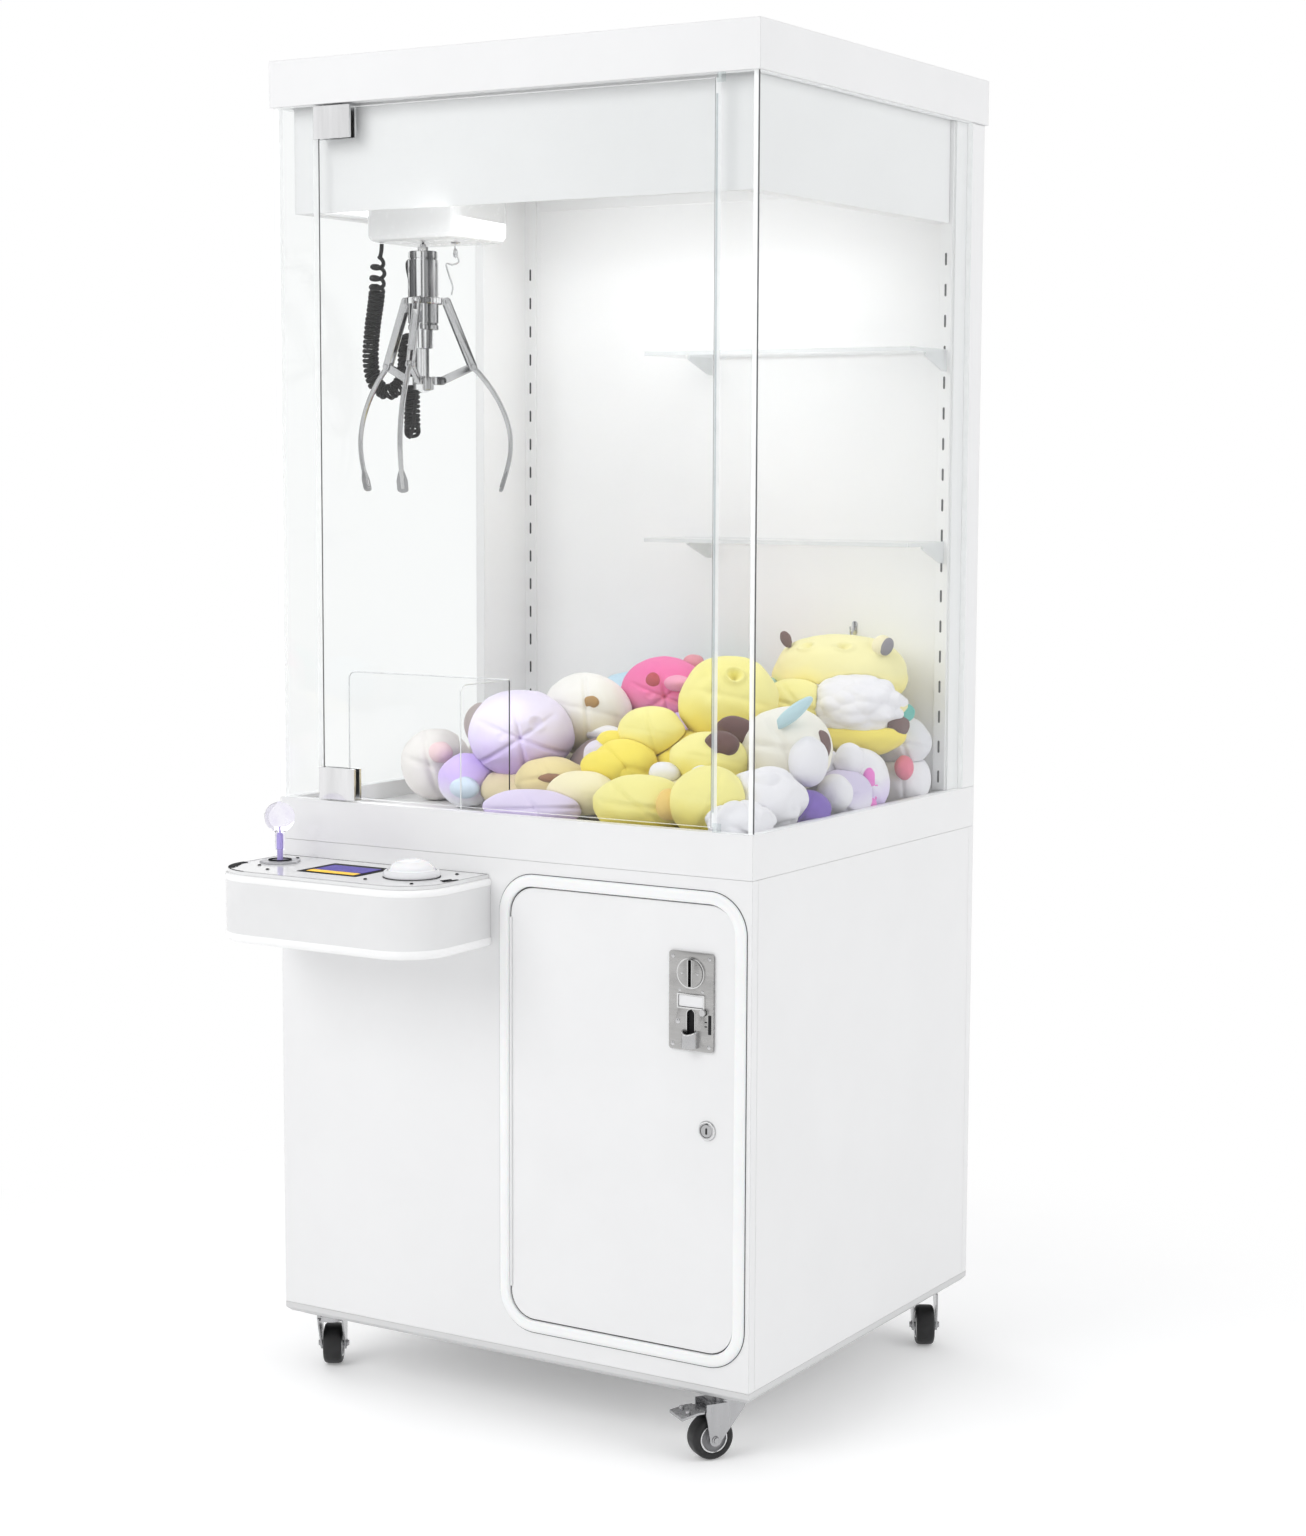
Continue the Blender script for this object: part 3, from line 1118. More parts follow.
def at_arm(obj, angle):
    """Turns a piece made in the plane through the claw's axis, where X is the radius, to its arm."""
    obj.data.transform(Matrix.Translation((CLAW.x, CLAW.y, 0)) @ Matrix.Rotation(math.radians(angle), 4, "Z"))
    return obj


def make_solenoid(chrome):
    low, high = box("claw_solenoid")
    top = high.z
    coil_top, coil_low, collar = top - 0.008, top - 0.119, COLLAR_PIVOT[1] - 0.0045
    sleeve_low = low.z
    bore_top = box("claw_hub")[1].z + max(joint("claw_plunger")["range_m"]) + 0.0020
    body = [(0, top - 0.001), (0.0068, top - 0.001), (0.0075, top - 0.002), (0.0075, coil_top + 0.001),
            (0.0195, coil_top + 0.0006), (0.0208, coil_top - 0.0006)]
    body += [(0.0208, coil_top - 0.009), (0.0198, coil_top - 0.0096), (0.0198, coil_top - 0.0112),
             (0.0218, coil_top - 0.0120)]
    body += [(0.0218, collar + 0.0100), (0.0220, collar + 0.0092), (0.0262, collar + 0.0088),
             (0.0268, collar + 0.0080), (0.0268, collar + 0.0010),
             (0.0260, collar), (0.0218, collar)]
    body += [(0.0218, coil_low + 0.0100), (0.0206, coil_low + 0.0094), (0.0206, coil_low + 0.0074),
             (0.0218, coil_low + 0.0066), (0.0218, coil_low + 0.0010),
             (0.0206, coil_low), (0.0144, coil_low)]
    body += [(0.0142, sleeve_low + 0.0008), (0.0134, sleeve_low), (0.0112, sleeve_low), (0.0112, bore_top),
             (0, bore_top)]
    shell = lathe("solenoid_shell", body[::-1], 96, at=AXIS)
    lugs = []
    r, z = COLLAR_PIVOT
    for angle in ARMS.values():
        lugs.append(at_arm(prism("lug", [capsule((0.0215, z), (r, z), 0.0052)], -0.003, 0.003, "y", 0.0004), angle))
    piece = join("claw_solenoid_body", shell, *lugs)
    stand_in(piece, chrome, "claw", "claw_solenoid")


def make_hub(chrome):
    low, high = box("claw_hub")
    rod_top, hub_top, hub_low = high.z, 1.4540, 1.4360
    core = [(0, low.z + 0.0006), (0.0045, low.z + 0.0008), (0.0075, low.z + 0.0030), (0.0142, hub_low),
            (0.0149, hub_low + 0.001), (0.0149, hub_top - 0.001),
            (0.0140, hub_top), (0.0050, hub_top), (0.0050, rod_top - 0.001), (0, rod_top)]
    parts = [lathe("core", core, 72, at=AXIS)]
    for k in range(3):
        t = math.radians(60 + 120 * k + ARMS["front"])
        rod = [(0, hub_top - 0.002), (0.0036, hub_top - 0.002), (0.0036, rod_top - 0.0005), (0, rod_top - 0.0005)]
        parts.append(lathe("rod", rod, 32, at=(CLAW.x + 0.0068 * math.cos(t), CLAW.y + 0.0068 * math.sin(t), 0)))
    r, z = HUB_PIVOT
    for angle in ARMS.values():
        for side in (-1, 1):
            offset = side * 0.0042
            ear = prism("ear", [capsule((0.0105, z), (r, z), 0.0059)], offset - 0.0008, offset + 0.0008, "y", 0.0003)
            parts.append(at_arm(ear, angle))
        parts.append(at_arm(lathe("pin", [(0, -0.0058), (0.0022, -0.0058), (0.0026, -0.0052), (0.0026, 0.0052),
                                          (0.0022, 0.0058), (0, 0.0058)], 24, "y", (r, 0, z)), angle))
    piece = join("claw_hub_body", *parts)
    stand_in(piece, chrome, "hub", "claw_hub")


def curve_line():
    elbow, belly, tip = (Vector((p[0], 0, p[1])) for p in (ELBOW, BELLY, TIP))
    upper = interpolate_bezier(elbow, elbow + Vector((0.024, 0, -0.020)), belly + Vector((0, 0, 0.045)), belly, 40)
    lower = interpolate_bezier(belly, belly - Vector((0, 0, 0.024)), tip + Vector((0.006, 0, 0.020)), tip, 20)
    return upper + lower[1:]


def make_finger(which, angle, chrome, pad_metal):
    """Flat arm from the hub, a round rod that sweeps out and down, and a spoon-shaped pad."""
    arm = prism("arm", [capsule(HUB_PIVOT, ELBOW, 0.0058)], -0.0029, 0.0029, "y", 0.0006)
    line = curve_line()
    rod = tube("rod", line, [0.0041 - 0.0007 * i / len(line) for i in range(len(line))], 16)
    boss = lathe("boss", [(0, -0.0066), (0.0034, -0.0066), (0.0040, -0.0058), (0.0040, 0.0058), (0.0034, 0.0066),
                          (0, 0.0066)], 24, "y", (ELBOW[0], 0, ELBOW[1]))
    arm = at_arm(join(f"finger_{which}_arm", arm, rod, boss), angle)
    stand_in(arm, chrome, f"finger_{which}", f"finger_{which}")
    tip, before = line[-1], line[-3]
    heading = (tip - before).normalized()
    side = Vector((heading.z, 0, -heading.x))
    bm = bmesh.new()
    rows = []
    for i in range(PAD_ROWS + 1):
        t = i / PAD_ROWS
        width = 0.0036 + 0.0046 * min(1, t * 2.2) ** 0.8
        if t > 0.86:
            width *= math.sqrt(max(0.0, 1 - ((t - 0.86) / 0.145) ** 2)) * 0.85 + 0.15
        thick = 0.0026 - 0.0006 * t
        centre = tip - heading * 0.0256 + heading * 0.032 * t
        row = []
        for x, y in circle(0, 0, 1.0, PAD_SIDES):
            cup = 0.0012 * (y * y - 0.5) * min(1, t * 2)
            row.append(bm.verts.new(centre + side * (thick * 0.8 * x - cup) + Vector((0, 1, 0)) * width * y))
        rows.append(row)
    skin_between(bm, rows)
    pad = at_arm(add_mesh(f"finger_{which}_pad", bm), angle)
    stand_in(pad, pad_metal, f"finger_{which}", f"finger_{which}")


def make_link(which, angle, chrome):
    top, low = COLLAR_PIVOT, ELBOW
    offset = 0.0042
    parts = []
    for side in (-1, 1):
        loops = [capsule(top, low, 0.0058), circle(*top, 0.0018, 20), circle(*low, 0.0034, 24)]
        parts.append(prism("cheek", loops, side * offset - 0.0008, side * offset + 0.0008, "y", 0.0003))
    line = Vector((low[0] - top[0], low[1] - top[1]))
    out = Vector((-line.y, line.x)).normalized()
    out = out if out.x > 0 else -out
    a, b = Vector(top) + line * 0.17 + out * 0.0046, Vector(top) + line * 0.80 + out * 0.0046
    web = [a - out * 0.0008, b - out * 0.0008, b + out * 0.0008, a + out * 0.0008]
    parts.append(prism("web", [[tuple(p) for p in web]], -offset, offset, "y", 0.0003))
    parts.append(lathe("rivet", [(0, -0.0060), (0.0024, -0.0060), (0.0029, -0.0053), (0.0017, -0.0050),
                                 (0.0017, 0.0050), (0.0029, 0.0053), (0.0024, 0.0060), (0, 0.0060)],
                       24, "y", (top[0], 0, top[1])))
    piece = at_arm(join(f"link_{which}_channel", *parts), angle)
    stand_in(piece, chrome, f"link_{which}", f"link_{which}")


def make_claw():
    chrome = metal("claw_chrome", (0.58, 0.58, 0.59), 0.14, (1, 1, 0.3), 0.015, 0.0, 150)
    s = Shader("claw_drawn_steel")
    s.set(Metallic=1.0)
    s.coat(s.noise(85, 2, 0.5, (1, 1, 0.02)), (0.10, 0.10, 0.105), (0.90, 0.90, 0.91), 0.40, 0.56)
    s.polish(s.noise(40, 4), 0.08, 0.20)
    s.bump(s.noise(300, 3), 0.02, 0.0003)
    pads = metal("pad_steel", (0.42, 0.42, 0.43), 0.32, (1, 1, 1), 0.05, 0.0, 60)
    make_solenoid(s.material)
    make_hub(s.material)
    for which, angle in ARMS.items():
        make_finger(which, angle, chrome, pads)
        make_link(which, angle, chrome)
    low = box("hoist_string")[0]
    top = box("gantry_carriage")[0].z + 0.010
    line = [(CLAW.x, CLAW.y, z) for z in (low.z - 0.0008, (low.z + top) / 2, top)]
    string = tube("hoist_rope", spline(line, 0.0015), 0.0016, 16)
    give(string, rubber("rope_black", (0.03, 0.03, 0.032), 0.6))
    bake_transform(string)
    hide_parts("hoist_string")
    z = box("claw_solenoid")[1].z
    socket = [(0.0020, z - 0.0006), (0.0046, z - 0.0006), (0.0046, z + 0.0022), (0.0032, z + 0.0030),
              (0.0020, z + 0.0030), (0.0020, z - 0.0006)]
    collar = lathe("rope_socket", socket, 32, at=AXIS)
    give(collar, chrome, "claw")


def make_limit_lever():
    """Small clear lever with its hook that hangs under the carriage beside the solenoid."""
    z = box("gantry_carriage")[0].z
    x, y = CLAW.x + 0.040, CLAW.y + 0.024
    ring = lathe("eye", [(0.0022, z - 0.0015), (0.0062, z - 0.0015), (0.0068, z - 0.0008), (0.0062, z - 0.0001),
                         (0.0022, z - 0.0001), (0.0022, z - 0.0015)], 32, at=(x, y, 0))
    hook = tube("hook", spline([(x, y, z - 0.001), (x - 0.001, y, z - 0.010), (x + 0.002, y + 0.001, z - 0.018),
                                (x + 0.004, y + 0.002, z - 0.027),
                                (x - 0.004, y - 0.002, z - 0.031), (x - 0.012, y - 0.006, z - 0.030),
                                (x - 0.008, y - 0.005, z - 0.046),
                                (x - 0.003, y - 0.003, z - 0.062), (x - 0.005, y - 0.003, z - 0.074)], 0.0015),
                0.0012, 10)
    knob = lathe("knob", [(0, z - 0.022), (0.0028, z - 0.020), (0.0036, z - 0.015), (0.0028, z - 0.010),
                          (0, z - 0.008)], 24, at=(x, y, 0))
    give(join("limit_lever", ring, hook, knob), metal("lever_wire", (0.75, 0.75, 0.77), 0.2), "carriage")


# ---- Casters ----
WHEEL_HALF = 0.0140
CASTERS = ("front_right", "front_left", "rear_right", "rear_left")


def make_wheel(which):
    """Rubber tyre, grey hub with a dished face and a bright rim, and the axle's nuts."""
    spin = joint(f"caster_wheel_{which}")
    centre, axis = Vector(spin["pos_m"]), Vector(spin["axis"])
    low, high = box(f"caster_wheel_{which}")
    r, half = (high.z - low.z) / 2, WHEEL_HALF
    turn = Matrix.Translation(centre) @ axis.to_track_quat("Z", "Y").to_matrix().to_4x4()
    side = [(0.0200, 0.0016), (0.0215, 0.0004), (r - 0.0050, 0.0002), (r - 0.0024, 0.0012), (r - 0.0008, 0.0034),
            (r - 0.0001, 0.0068)]
    tyre = [(a, -half + b) for a, b in side] + [(r, 0)] + [(a, half - b)
                                                           for a, b in side[::-1]] + [(0.0200, -half + 0.0016)]
    rubber_ring = lathe(f"caster_tyre_{which}", tyre, 72)
    face = [(0.0046, 0.0008), (0.0086, 0.0008), (0.0100, 0.0030), (0.0162, 0.0034), (0.0176, 0.0016)]
    hub = [(a, -half + b) for a, b in face] + [(0.0178, -half + 0.0030), (0.0178, half - 0.0030)]
    hub += [(a, half - b) for a, b in face[::-1]] + [(0.0046, -half + 0.0008)]
    hub_ring = lathe(f"caster_hub_{which}", hub, 64)
    bright = [(0.0177, 0.0006), (0.0190, 0.0000), (0.0199, 0.0008), (0.0199, 0.0030), (0.0177, 0.0030),
              (0.0177, 0.0006)]
    rims = [lathe("rim", [(a, flip * (half - b)) for a, b in bright], 64) for flip in (-1, 1)]
    rim = join(f"caster_rim_{which}", *rims)
    for piece in (rubber_ring, hub_ring, rim):
        piece.data.transform(turn)
    body, node = f"wheel_{which}", f"caster_wheel_{which}"
    stand_in(rubber_ring, bpy.data.materials["tyre_black"], body, node)
    stand_in(hub_ring, bpy.data.materials["hub_grey"], body, node)
    give(rim, bpy.data.materials["rim_steel"], body)
    nuts = []
    for flip in (-1, 1):
        leg = half + 0.0050
        profile = [(0, leg), (0.0056, leg), (0.0056, leg + 0.0012), (0.0044, leg + 0.0016), (0.0040, leg + 0.0036),
                   (0, leg + 0.0040)]
        nut = lathe("nut", [(a, flip * b) for a, b in profile], 24)
        nut.data.transform(turn)
        nuts.append(nut)
    give(join(f"caster_nuts_{which}", *nuts), bpy.data.materials["zinc"], f"swivel_{which}")


def make_swivel(which):
    """Turned bearing housing between the pad and the fork, with the dark gap above it."""
    x, y = joint(f"caster_swivel_{which}")["pos_m"][:2]
    fork = box(f"caster_fork_{which}")[1].z
    cup = lathe(f"caster_bearing_{which}",
                [(0.0140, fork - 0.0030), (0.0222, fork - 0.0030), (0.0228, fork - 0.0015), (0.0222, fork + 0.0001),
                 (0.0140, fork + 0.0001),
                                            (0.0140, fork - 0.0030)], 48, at=(x, y, 0))
    give(cup, bpy.data.materials["zinc"], f"swivel_{which}")


def make_brake_bolts(zinc):
    """Two bolt heads on the brake pedal's tread."""
    high = box("brake_pedal")[1]
    at, pos = middle("brake_pedal"), joint("brake_pedal_press")["pos_m"]
    out = Vector((at.x - pos[0], at.y - pos[1], 0)).normalized()
    across = Vector((-out.y, out.x, 0))
    heads = []
    for side in (-1, 1):
        spot = Vector((at.x, at.y, 0)) + out * 0.008 + across * side * 0.011
        heads.append(lathe("bolt", [(0, high.z - 0.0030), (0.0034, high.z - 0.0030), (0.0033, high.z + 0.0008),
                                    (0.0020, high.z + 0.0016), (0, high.z + 0.0018)], 20, at=(spot.x, spot.y, 0)))
    give(join("brake_bolts", *heads), zinc, "pedal")


def make_casters():
    rubber("tyre_black", (0.006, 0.006, 0.0065), 0.45)
    plastic("hub_grey", (0.24, 0.24, 0.25), 0.35, 0.06)
    metal("rim_steel", (0.78, 0.78, 0.79), 0.2)
    zinc = metal("zinc", (0.50, 0.50, 0.51), 0.24, (1, 1, 0.15), 0.06, 0.0006, 110)
    for which in CASTERS:
        make_wheel(which)
        make_swivel(which)
        dress(zinc, f"caster_fork_{which}")
    dress(zinc, "brake_pedal")
    make_brake_bolts(zinc)


# ---- Plush prizes ----
# Each toy: centre, half sizes, upper and lower colour, and the kind of creases.
TOYS = (
    ((-0.300, 0.000, 0.882), (0.048, 0.060, 0.054), (0.80, 0.77, 0.75), (0.84, 0.80, 0.78), "fold"),
    ((-0.205, -0.050, 0.868), (0.045, 0.045, 0.040), LAVENDER, PLUSH_WHITE, "plain"),
    ((-0.126, -0.030, 0.939), (0.080, 0.074, 0.066), (0.82, 0.76, 0.92), (0.58, 0.42, 0.84), "star"),
    ((-0.077, 0.072, 0.963), (0.068, 0.064, 0.062), (0.90, 0.88, 0.84), (0.90, 0.82, 0.52), "seam"),
    ((-0.003, 0.170, 0.990), (0.066, 0.062, 0.056), PINK, (0.90, 0.42, 0.60), "star"),
    ((-0.110, 0.255, 0.975), (0.055, 0.045, 0.040), SKY, None, "plain"),
    ((0.020, 0.265, 0.985), (0.055, 0.045, 0.045), TEAL, None, "plain"),
    ((0.165, 0.072, 0.993), (0.074, 0.068, 0.066), PALE_YELLOW, YELLOW, "dimple"),
    ((0.084, -0.008, 0.948), (0.050, 0.048, 0.040), PALE_YELLOW, YELLOW, "seam"),
    ((0.070, -0.055, 0.905), (0.050, 0.045, 0.040), YELLOW, None, "fold"),
    ((0.206, -0.050, 0.922), (0.058, 0.052, 0.040), PALE_YELLOW, YELLOW, "seam"),
    ((-0.007, -0.175, 0.852), (0.077, 0.052, 0.028), (0.76, 0.68, 0.90), LAVENDER, "fold"),
    ((0.040, -0.120, 0.872), (0.052, 0.045, 0.032), CREAM, None, "plain"),
    ((-0.040, -0.075, 0.880), (0.058, 0.045, 0.034), (0.80, 0.68, 0.36), None, "fold"),
    ((0.165, -0.165, 0.868), (0.068, 0.062, 0.042), PALE_YELLOW, YELLOW, "fold"),
    ((0.275, -0.170, 0.880), (0.054, 0.055, 0.048), PALE_YELLOW, YELLOW, "seam"),
    ((0.290, 0.015, 0.935), (0.068, 0.064, 0.062), (0.90, 0.88, 0.80), (0.90, 0.84, 0.66), "fold"),
    ((0.325, -0.105, 0.878), (0.055, 0.060, 0.046), PLUSH_WHITE, None, "crumple"),
    ((0.338, -0.195, 0.856), (0.046, 0.048, 0.032), PLUSH_WHITE, None, "crumple"),
    ((0.345, -0.030, 0.858), (0.036, 0.042, 0.030), VIOLET, None, "seam"),
    ((0.340, 0.090, 0.866), (0.042, 0.055, 0.038), (0.70, 0.64, 0.84), PLUSH_WHITE, "fold"),
    ((0.335, 0.150, 0.880), (0.046, 0.050, 0.050), PLUSH_WHITE, LAVENDER, "fold"),
    ((0.335, 0.285, 0.872), (0.046, 0.048, 0.044), PLUSH_WHITE, None, "seam"),
    ((0.335, 0.285, 0.925), (0.045, 0.045, 0.040), (0.80, 0.80, 0.84), None, "fold"),
    ((0.245, 0.262, 1.025), (0.106, 0.072, 0.060), (0.93, 0.87, 0.45), YELLOW, "two dimples"),
    ((0.302, 0.205, 0.984), (0.076, 0.056, 0.046), PLUSH_WHITE, None, "cloud"),
    ((0.305, 0.215, 0.945), (0.070, 0.055, 0.035), YELLOW, None, "plain"),
    ((0.215, 0.180, 0.985), (0.055, 0.050, 0.036), PALE_YELLOW, YELLOW, "fold"),
    ((-0.220, 0.110, 0.885), (0.085, 0.085, 0.055), (0.84, 0.80, 0.78), None, "fold"),
    ((-0.230, 0.250, 0.885), (0.085, 0.080, 0.055), PLUSH_WHITE, None, "fold"),
    ((-0.080, 0.190, 0.895), (0.085, 0.080, 0.066), CREAM, None, "seam"),
    ((0.000, 0.040, 0.885), (0.075, 0.075, 0.055), (0.32, 0.24, 0.24), None, "plain"),
    ((0.120, 0.030, 0.895), (0.078, 0.075, 0.060), YELLOW, None, "fold"),
    ((0.180, 0.080, 0.905), (0.080, 0.080, 0.070), CREAM, None, "plain"),
    ((0.060, 0.240, 0.905), (0.085, 0.085, 0.070), PINK, None, "plain"),
    ((0.200, 0.240, 0.925), (0.080, 0.080, 0.085), YELLOW, None, "plain"),
    ((0.180, -0.070, 0.864), (0.070, 0.065, 0.038), CREAM, None, "plain"),
    ((0.060, 0.120, 0.900), (0.080, 0.080, 0.070), LAVENDER, None, "plain"),
    ((0.265, 0.110, 0.885), (0.070, 0.070, 0.055), PLUSH_WHITE, None, "plain"),
    ((-0.120, -0.030, 0.860), (0.065, 0.065, 0.034), (0.70, 0.60, 0.40), None, "plain"),
)
# Ears, paws, horns and caps: which toy, centre, half sizes, colour and lean in degrees.
EXTRAS = (
    (2, (-0.216, -0.004, 0.946), (0.026, 0.020, 0.032), TAUPE),
          (3, (-0.042, 0.030, 0.985), (0.013, 0.008, 0.010), (0.45, 0.28, 0.12)),
    (3, (-0.030, 0.040, 0.940), (0.040, 0.018, 0.012), PLUSH_WHITE),
          (4, (0.010, 0.118, 1.012), (0.012, 0.008, 0.014), (0.55, 0.12, 0.14)),
    (4, (0.045, 0.130, 1.010), (0.022, 0.016, 0.012), (0.90, 0.40, 0.56)),
          (6, (0.010, 0.235, 1.030), (0.018, 0.016, 0.016), (0.75, 0.35, 0.40)),
    (6, (0.058, 0.245, 1.022), (0.016, 0.014, 0.014), (0.75, 0.35, 0.40)),
          (8, (0.038, -0.038, 0.938), (0.026, 0.018, 0.016), YELLOW),
    (8, (0.020, -0.045, 0.918), (0.024, 0.020, 0.022), (0.78, 0.74, 0.86)),
          (9, (0.055, -0.088, 0.905), (0.036, 0.024, 0.026), YELLOW),
    (10, (0.238, -0.072, 0.948), (0.026, 0.018, 0.018), BROWN),
          (10, (0.160, -0.096, 0.905), (0.024, 0.018, 0.016), PLUSH_WHITE),
    (10, (0.222, -0.100, 0.908), (0.016, 0.012, 0.012), PLUSH_WHITE),
          (13, (-0.020, -0.108, 0.888), (0.022, 0.014, 0.007), (0.30, 0.16, 0.09)),
    (14, (0.228, -0.198, 0.876), (0.017, 0.018, 0.022), (0.92, 0.66, 0.22)),
          (16, (0.236, -0.028, 0.962), (0.030, 0.018, 0.021), BROWN, (0, 15, 31)),
    (16, (0.349, 0.010, 0.945), (0.014, 0.012, 0.022), BROWN),
          (16, (0.326, -0.030, 0.992), (0.010, 0.010, 0.034), (0.50, 0.70, 0.76), (0, 50, 31)),
    (16, (0.345, -0.020, 0.925), (0.026, 0.034, 0.036), PLUSH_WHITE),
          (21, (0.342, 0.108, 0.915), (0.022, 0.024, 0.026), PLUSH_WHITE),
    (21, (0.364, 0.128, 0.890), (0.010, 0.016, 0.016), MAGENTA),
          (21, (0.366, 0.140, 0.872), (0.010, 0.016, 0.018), MAGENTA),
    (21, (0.364, 0.128, 0.850), (0.010, 0.016, 0.016), MAGENTA),
          (20, (0.352, 0.045, 0.875), (0.026, 0.026, 0.028), PLUSH_WHITE),
    (22, (0.366, 0.235, 0.895), (0.014, 0.016, 0.018), (0.80, 0.20, 0.30)),
          (24, (0.176, 0.222, 1.075), (0.008, 0.007, 0.013), BROWN, (0, -25, 31)),
    (24, (0.324, 0.240, 1.070), (0.014, 0.010, 0.016), CREAM, (0, 25, 31)),
          (24, (0.334, 0.238, 1.069), (0.009, 0.008, 0.014), (0.25, 0.24, 0.27), (0, 25, 31)),
          (24, (0.150, 0.215, 1.005), (0.016, 0.016, 0.014), (0.40, 0.62, 0.58)),
    (25, (0.350, 0.215, 0.985), (0.028, 0.024, 0.022), (0.90, 0.80, 0.42)),
          (25, (0.362, 0.215, 0.958), (0.020, 0.022, 0.018), BROWN),
    (25, (0.366, 0.230, 0.975), (0.016, 0.022, 0.014), TEAL),
          (25, (0.240, 0.205, 1.002), (0.020, 0.018, 0.016), PLUSH_WHITE),
    (0, (-0.262, -0.040, 0.905), (0.018, 0.018, 0.016), (0.82, 0.62, 0.64)),
          (1, (-0.185, -0.088, 0.862), (0.026, 0.014, 0.016), (0.66, 0.76, 0.88)),
)
BIG_TOYS = (2, 3, 4, 7, 24, 25)
FRONT_TOYS = (2, 7, 16, 25)
TO_VIEW = (0.52, -0.83, 0.15)


def unit_sphere(level):
    bm = bmesh.new()
    bmesh.ops.create_icosphere(bm, subdivisions=level, radius=1.0)
    points = np.array([v.co[:] for v in bm.verts])
    faces = [[v.index for v in f.verts] for f in bm.faces]
    bm.free()
    return points, faces


def groove(points, normal, depth, width, toward):
    """Narrow valley where a plane meets the surface, on the side it faces."""
    normal, toward = np.array(normal) / np.linalg.norm(normal), np.array(toward) / np.linalg.norm(toward)
    near = np.clip((points @ toward - 0.15) / 0.6, 0, 1)
    return -depth * near * np.exp(-((points @ normal) / width) ** 2)


def dent(points, toward, depth, width):
    toward = np.array(toward) / np.linalg.norm(toward)
    return -depth * np.exp(-((1 - points @ toward) / width))


def crest(points, toward, depth, width, ring):
    """Round hole pulled into the skin with a raised ring round it."""
    toward = np.array(toward) / np.linalg.norm(toward)
    angle = np.arccos(np.clip(points @ toward, -1, 1))
    return -depth * np.exp(-(angle / width) ** 2) + 0.45 * depth * np.exp(-((angle - ring) / (0.5 * width)) ** 2)


def relief(points, style, seed):
    """How far the skin stands in or out, as a share of the radius."""
    rng = np.random.default_rng(seed)
    shift = rng.uniform(-9, 9, 3)
    broad = np.array([noise.noise(Vector(p * 1.6 + shift)) for p in points])
    small = np.array([noise.noise(Vector(p * 4.5 - shift)) for p in points])
    out = 0.060 * broad + 0.012 * small
    if style == "cloud":
        puffs = np.array([noise.voronoi(Vector(p * 2.1 + shift))[0][0] for p in points])
        out += 0.26 * (0.45 - puffs)
    if style == "crumple":
        folds = np.abs(np.array([noise.noise(Vector(p * 1.2 - shift)) for p in points]))
        out += 0.06 - 0.15 * np.exp(-folds / 0.12)
    side = (0.85, 0.52, 0.0)
    tilt = rng.uniform(-0.35, 0.35, 2)
    if style == "star":
        for a in (0.15, 1.15, 2.25):
            out += groove(points, (math.cos(a) * side[0], math.cos(a) * side[1], math.sin(a)), 0.085, 0.036,
                          (0.52, -0.83, -0.35 + tilt[0]))
        out += dent(points, (0.55, -0.80, 0.12), 0.07, 0.02) + crest(points, (0.72, -0.60, 0.34), 0.07, 0.08, 0.15)
        out += crest(points, (0.20, -0.93, 0.05), 0.04, 0.06, 0.12)
    if style == "seam":
        out += groove(points, (side[0], side[1], tilt[0]), 0.085, 0.045, TO_VIEW)
        out += groove(points, (0.1, 0.3, 1.0), 0.025, 0.06, TO_VIEW)
    if style == "fold":
        out += groove(points, (tilt[1], 0.2, 1.0), 0.11, 0.065, (0.6, -0.75, 0.1))
        out += groove(points, (side[0], side[1], 0.6 + tilt[0]), 0.085, 0.055, (0.3, -0.9, 0.2))
    if style == "dimple":
        out += crest(points, (0.46, -0.62, 0.64), 0.22, 0.085, 0.17) + dent(points, (0.15, -0.95, 0.25), 0.07, 0.010)
        out += dent(points, (0.84, -0.52, 0.15), 0.06, 0.008) + groove(points, (0.1, 0.3, 1.0), 0.03, 0.06,
                                                                       (0.5, -0.8, -0.5))
    if style == "two dimples":
        out += crest(points, (0.28, -0.62, 0.73), 0.15, 0.060, 0.13) + crest(points, (-0.28, -0.66, 0.70), 0.15,
                                                                             0.060, 0.13)
    return out


def settle(points, centre, radii, others):
    """Presses a toy back from its neighbours to the surface midway between them."""
    keep = np.ones(len(points))
    rays = points - centre
    for c, r, in_front in others:

        def taken(share):
            own = np.linalg.norm(rays * share[:, None] / radii, axis=1)
            theirs = np.linalg.norm((centre + rays * share[:, None] - c) / r, axis=1)
            return (own > theirs) | (theirs < in_front)

        low, high = np.zeros(len(points)), keep.copy()
        inside = taken(high)
        if not inside.any():
            continue
        for _ in range(12):
            half = (low + high) / 2
            over = taken(half)
            high = np.where(over, half, high)
            low = np.where(over, low, half)
        keep = np.where(inside, np.minimum(keep, low), keep)
    return centre + rays * (keep * 0.993)[:, None]


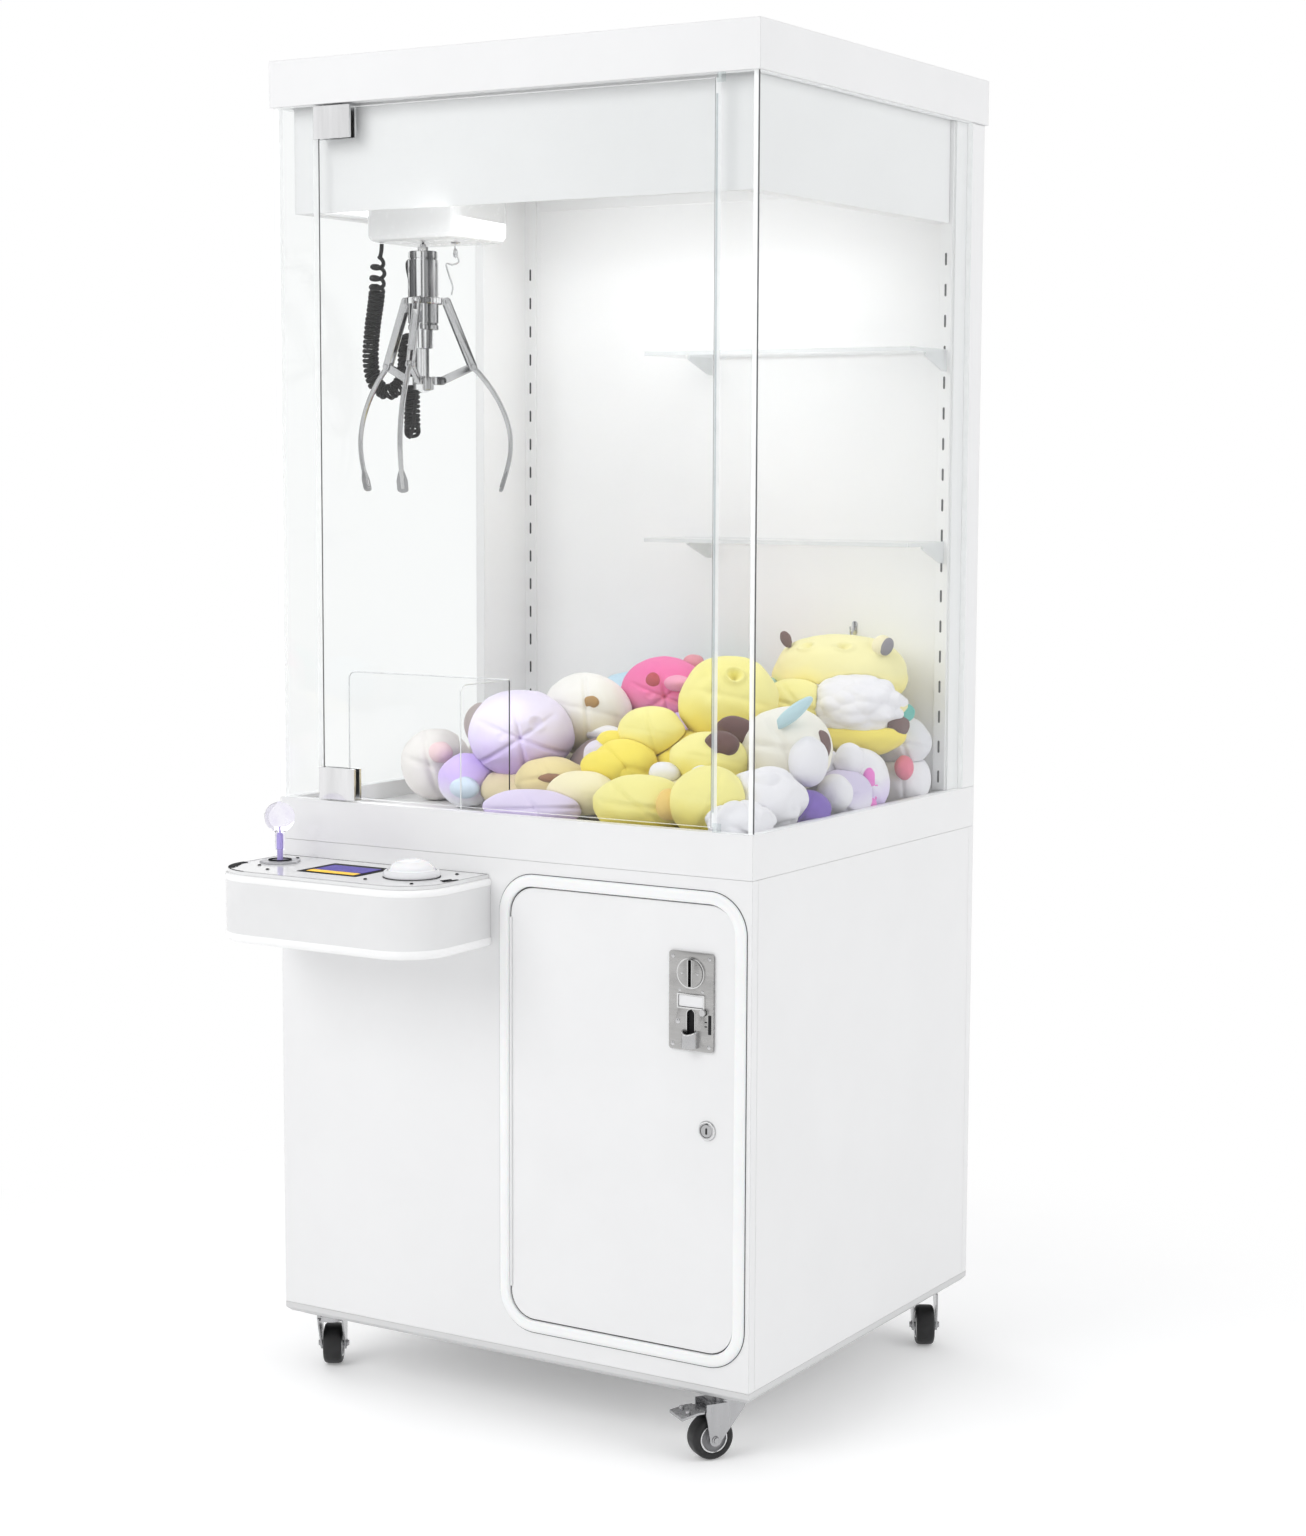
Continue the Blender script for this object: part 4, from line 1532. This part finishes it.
def keep_in_cabinet(points):
    side, front, back = box("glass_right")[0].x - 0.004, box("glass_door")[1].y + 0.004, SHELF_BACK - 0.0005
    guard_high = box("chute_guard")[1]
    points[:, 2] = np.maximum(points[:, 2], DECK + 0.0008)
    points[:, 0] = np.minimum(points[:, 0], side - 0.002)
    points[:, 1] = np.clip(points[:, 1], front + 0.002, back)
    points[:, 0] = np.maximum(points[:, 0], -side + 0.022)
    near = (points[:, 0] < guard_high.x + 0.001) & (points[:, 1] < guard_high.y + 0.001)
    over_x, over_y = guard_high.x + 0.001 - points[:, 0], guard_high.y + 0.001 - points[:, 1]
    by_x = near & (over_x < over_y)
    points[by_x, 0] = guard_high.x + 0.001
    points[near & ~by_x, 1] = guard_high.y + 0.001
    return points


def make_toy(name, centre, radii, style, seed, others, material, level, replaced, lean=(0, 0, 0)):
    unit, faces = unit_sphere(level)
    centre, radii = np.array(centre), np.array(radii)
    turn = np.array(Euler([math.radians(a) for a in lean]).to_matrix())
    skin = centre + (unit * radii * (1 + relief(unit, style, seed))[:, None]) @ turn.T
    skin = keep_in_cabinet(settle(skin, centre, radii, others))
    mesh = bpy.data.meshes.new(name)
    mesh.from_pydata((skin - centre).tolist(), [], faces)
    mesh.shade_smooth()
    toy = bpy.data.objects.new(name, mesh)
    toy.location = centre
    bpy.context.scene.collection.objects.link(toy)
    ease = toy.modifiers.new("ease", "SMOOTH")
    ease.factor, ease.iterations = 0.5, 2 if level > 5 else 1
    give(toy, material, "cabinet")
    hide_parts(replaced)
    return toy


def pile_of(x):
    for name in ("plush_pile_left", "plush_pile_middle", "plush_pile_right"):
        if x < box(name)[1].x:
            return name
    return "plush_pile_right"


def make_plush():
    bodies = [(np.array(c), np.array(r), 0.96 if i in FRONT_TOYS else 0.0) for i, (c, r, *_) in enumerate(TOYS)]
    for i, (centre, radii, top, bottom, style) in enumerate(TOYS):
        material = plush(f"plush_{i:02d}", top, bottom)
        near = [b for j, b in enumerate(bodies) if j != i and i not in FRONT_TOYS]
        level = 6 if i in BIG_TOYS else 5
        if i > 27:
            level = 4
        make_toy(f"toy_{i:02d}", centre, radii, style, i, near, material, level, pile_of(centre[0]))
    for i, (toy, centre, radii, colour, *lean) in enumerate(EXTRAS):
        material = plush(f"plush_extra_{i:02d}", colour)
        near = [b for j, b in enumerate(bodies) if j != toy]
        make_toy(f"toy_extra_{i:02d}", centre, radii, "plain", 100 + i, near, material, 4, pile_of(centre[0]),
                 lean[0] if lean else (0, 0, 0))


def main():
    make_camera()
    make_cords()
    make_world()
    make_floor()
    make_lights()
    dress_cabinet()
    make_rail_slots()
    make_hook()
    make_header_seam()
    make_interior_lights()
    make_glass_trim()
    make_door_frame()
    make_guard()
    make_glass_edges()
    make_console()
    make_coin_mech()
    make_lock()
    make_claw()
    make_limit_lever()
    make_casters()
    make_plush()
    bpy.context.scene.view_settings.view_transform = "Standard"


main()
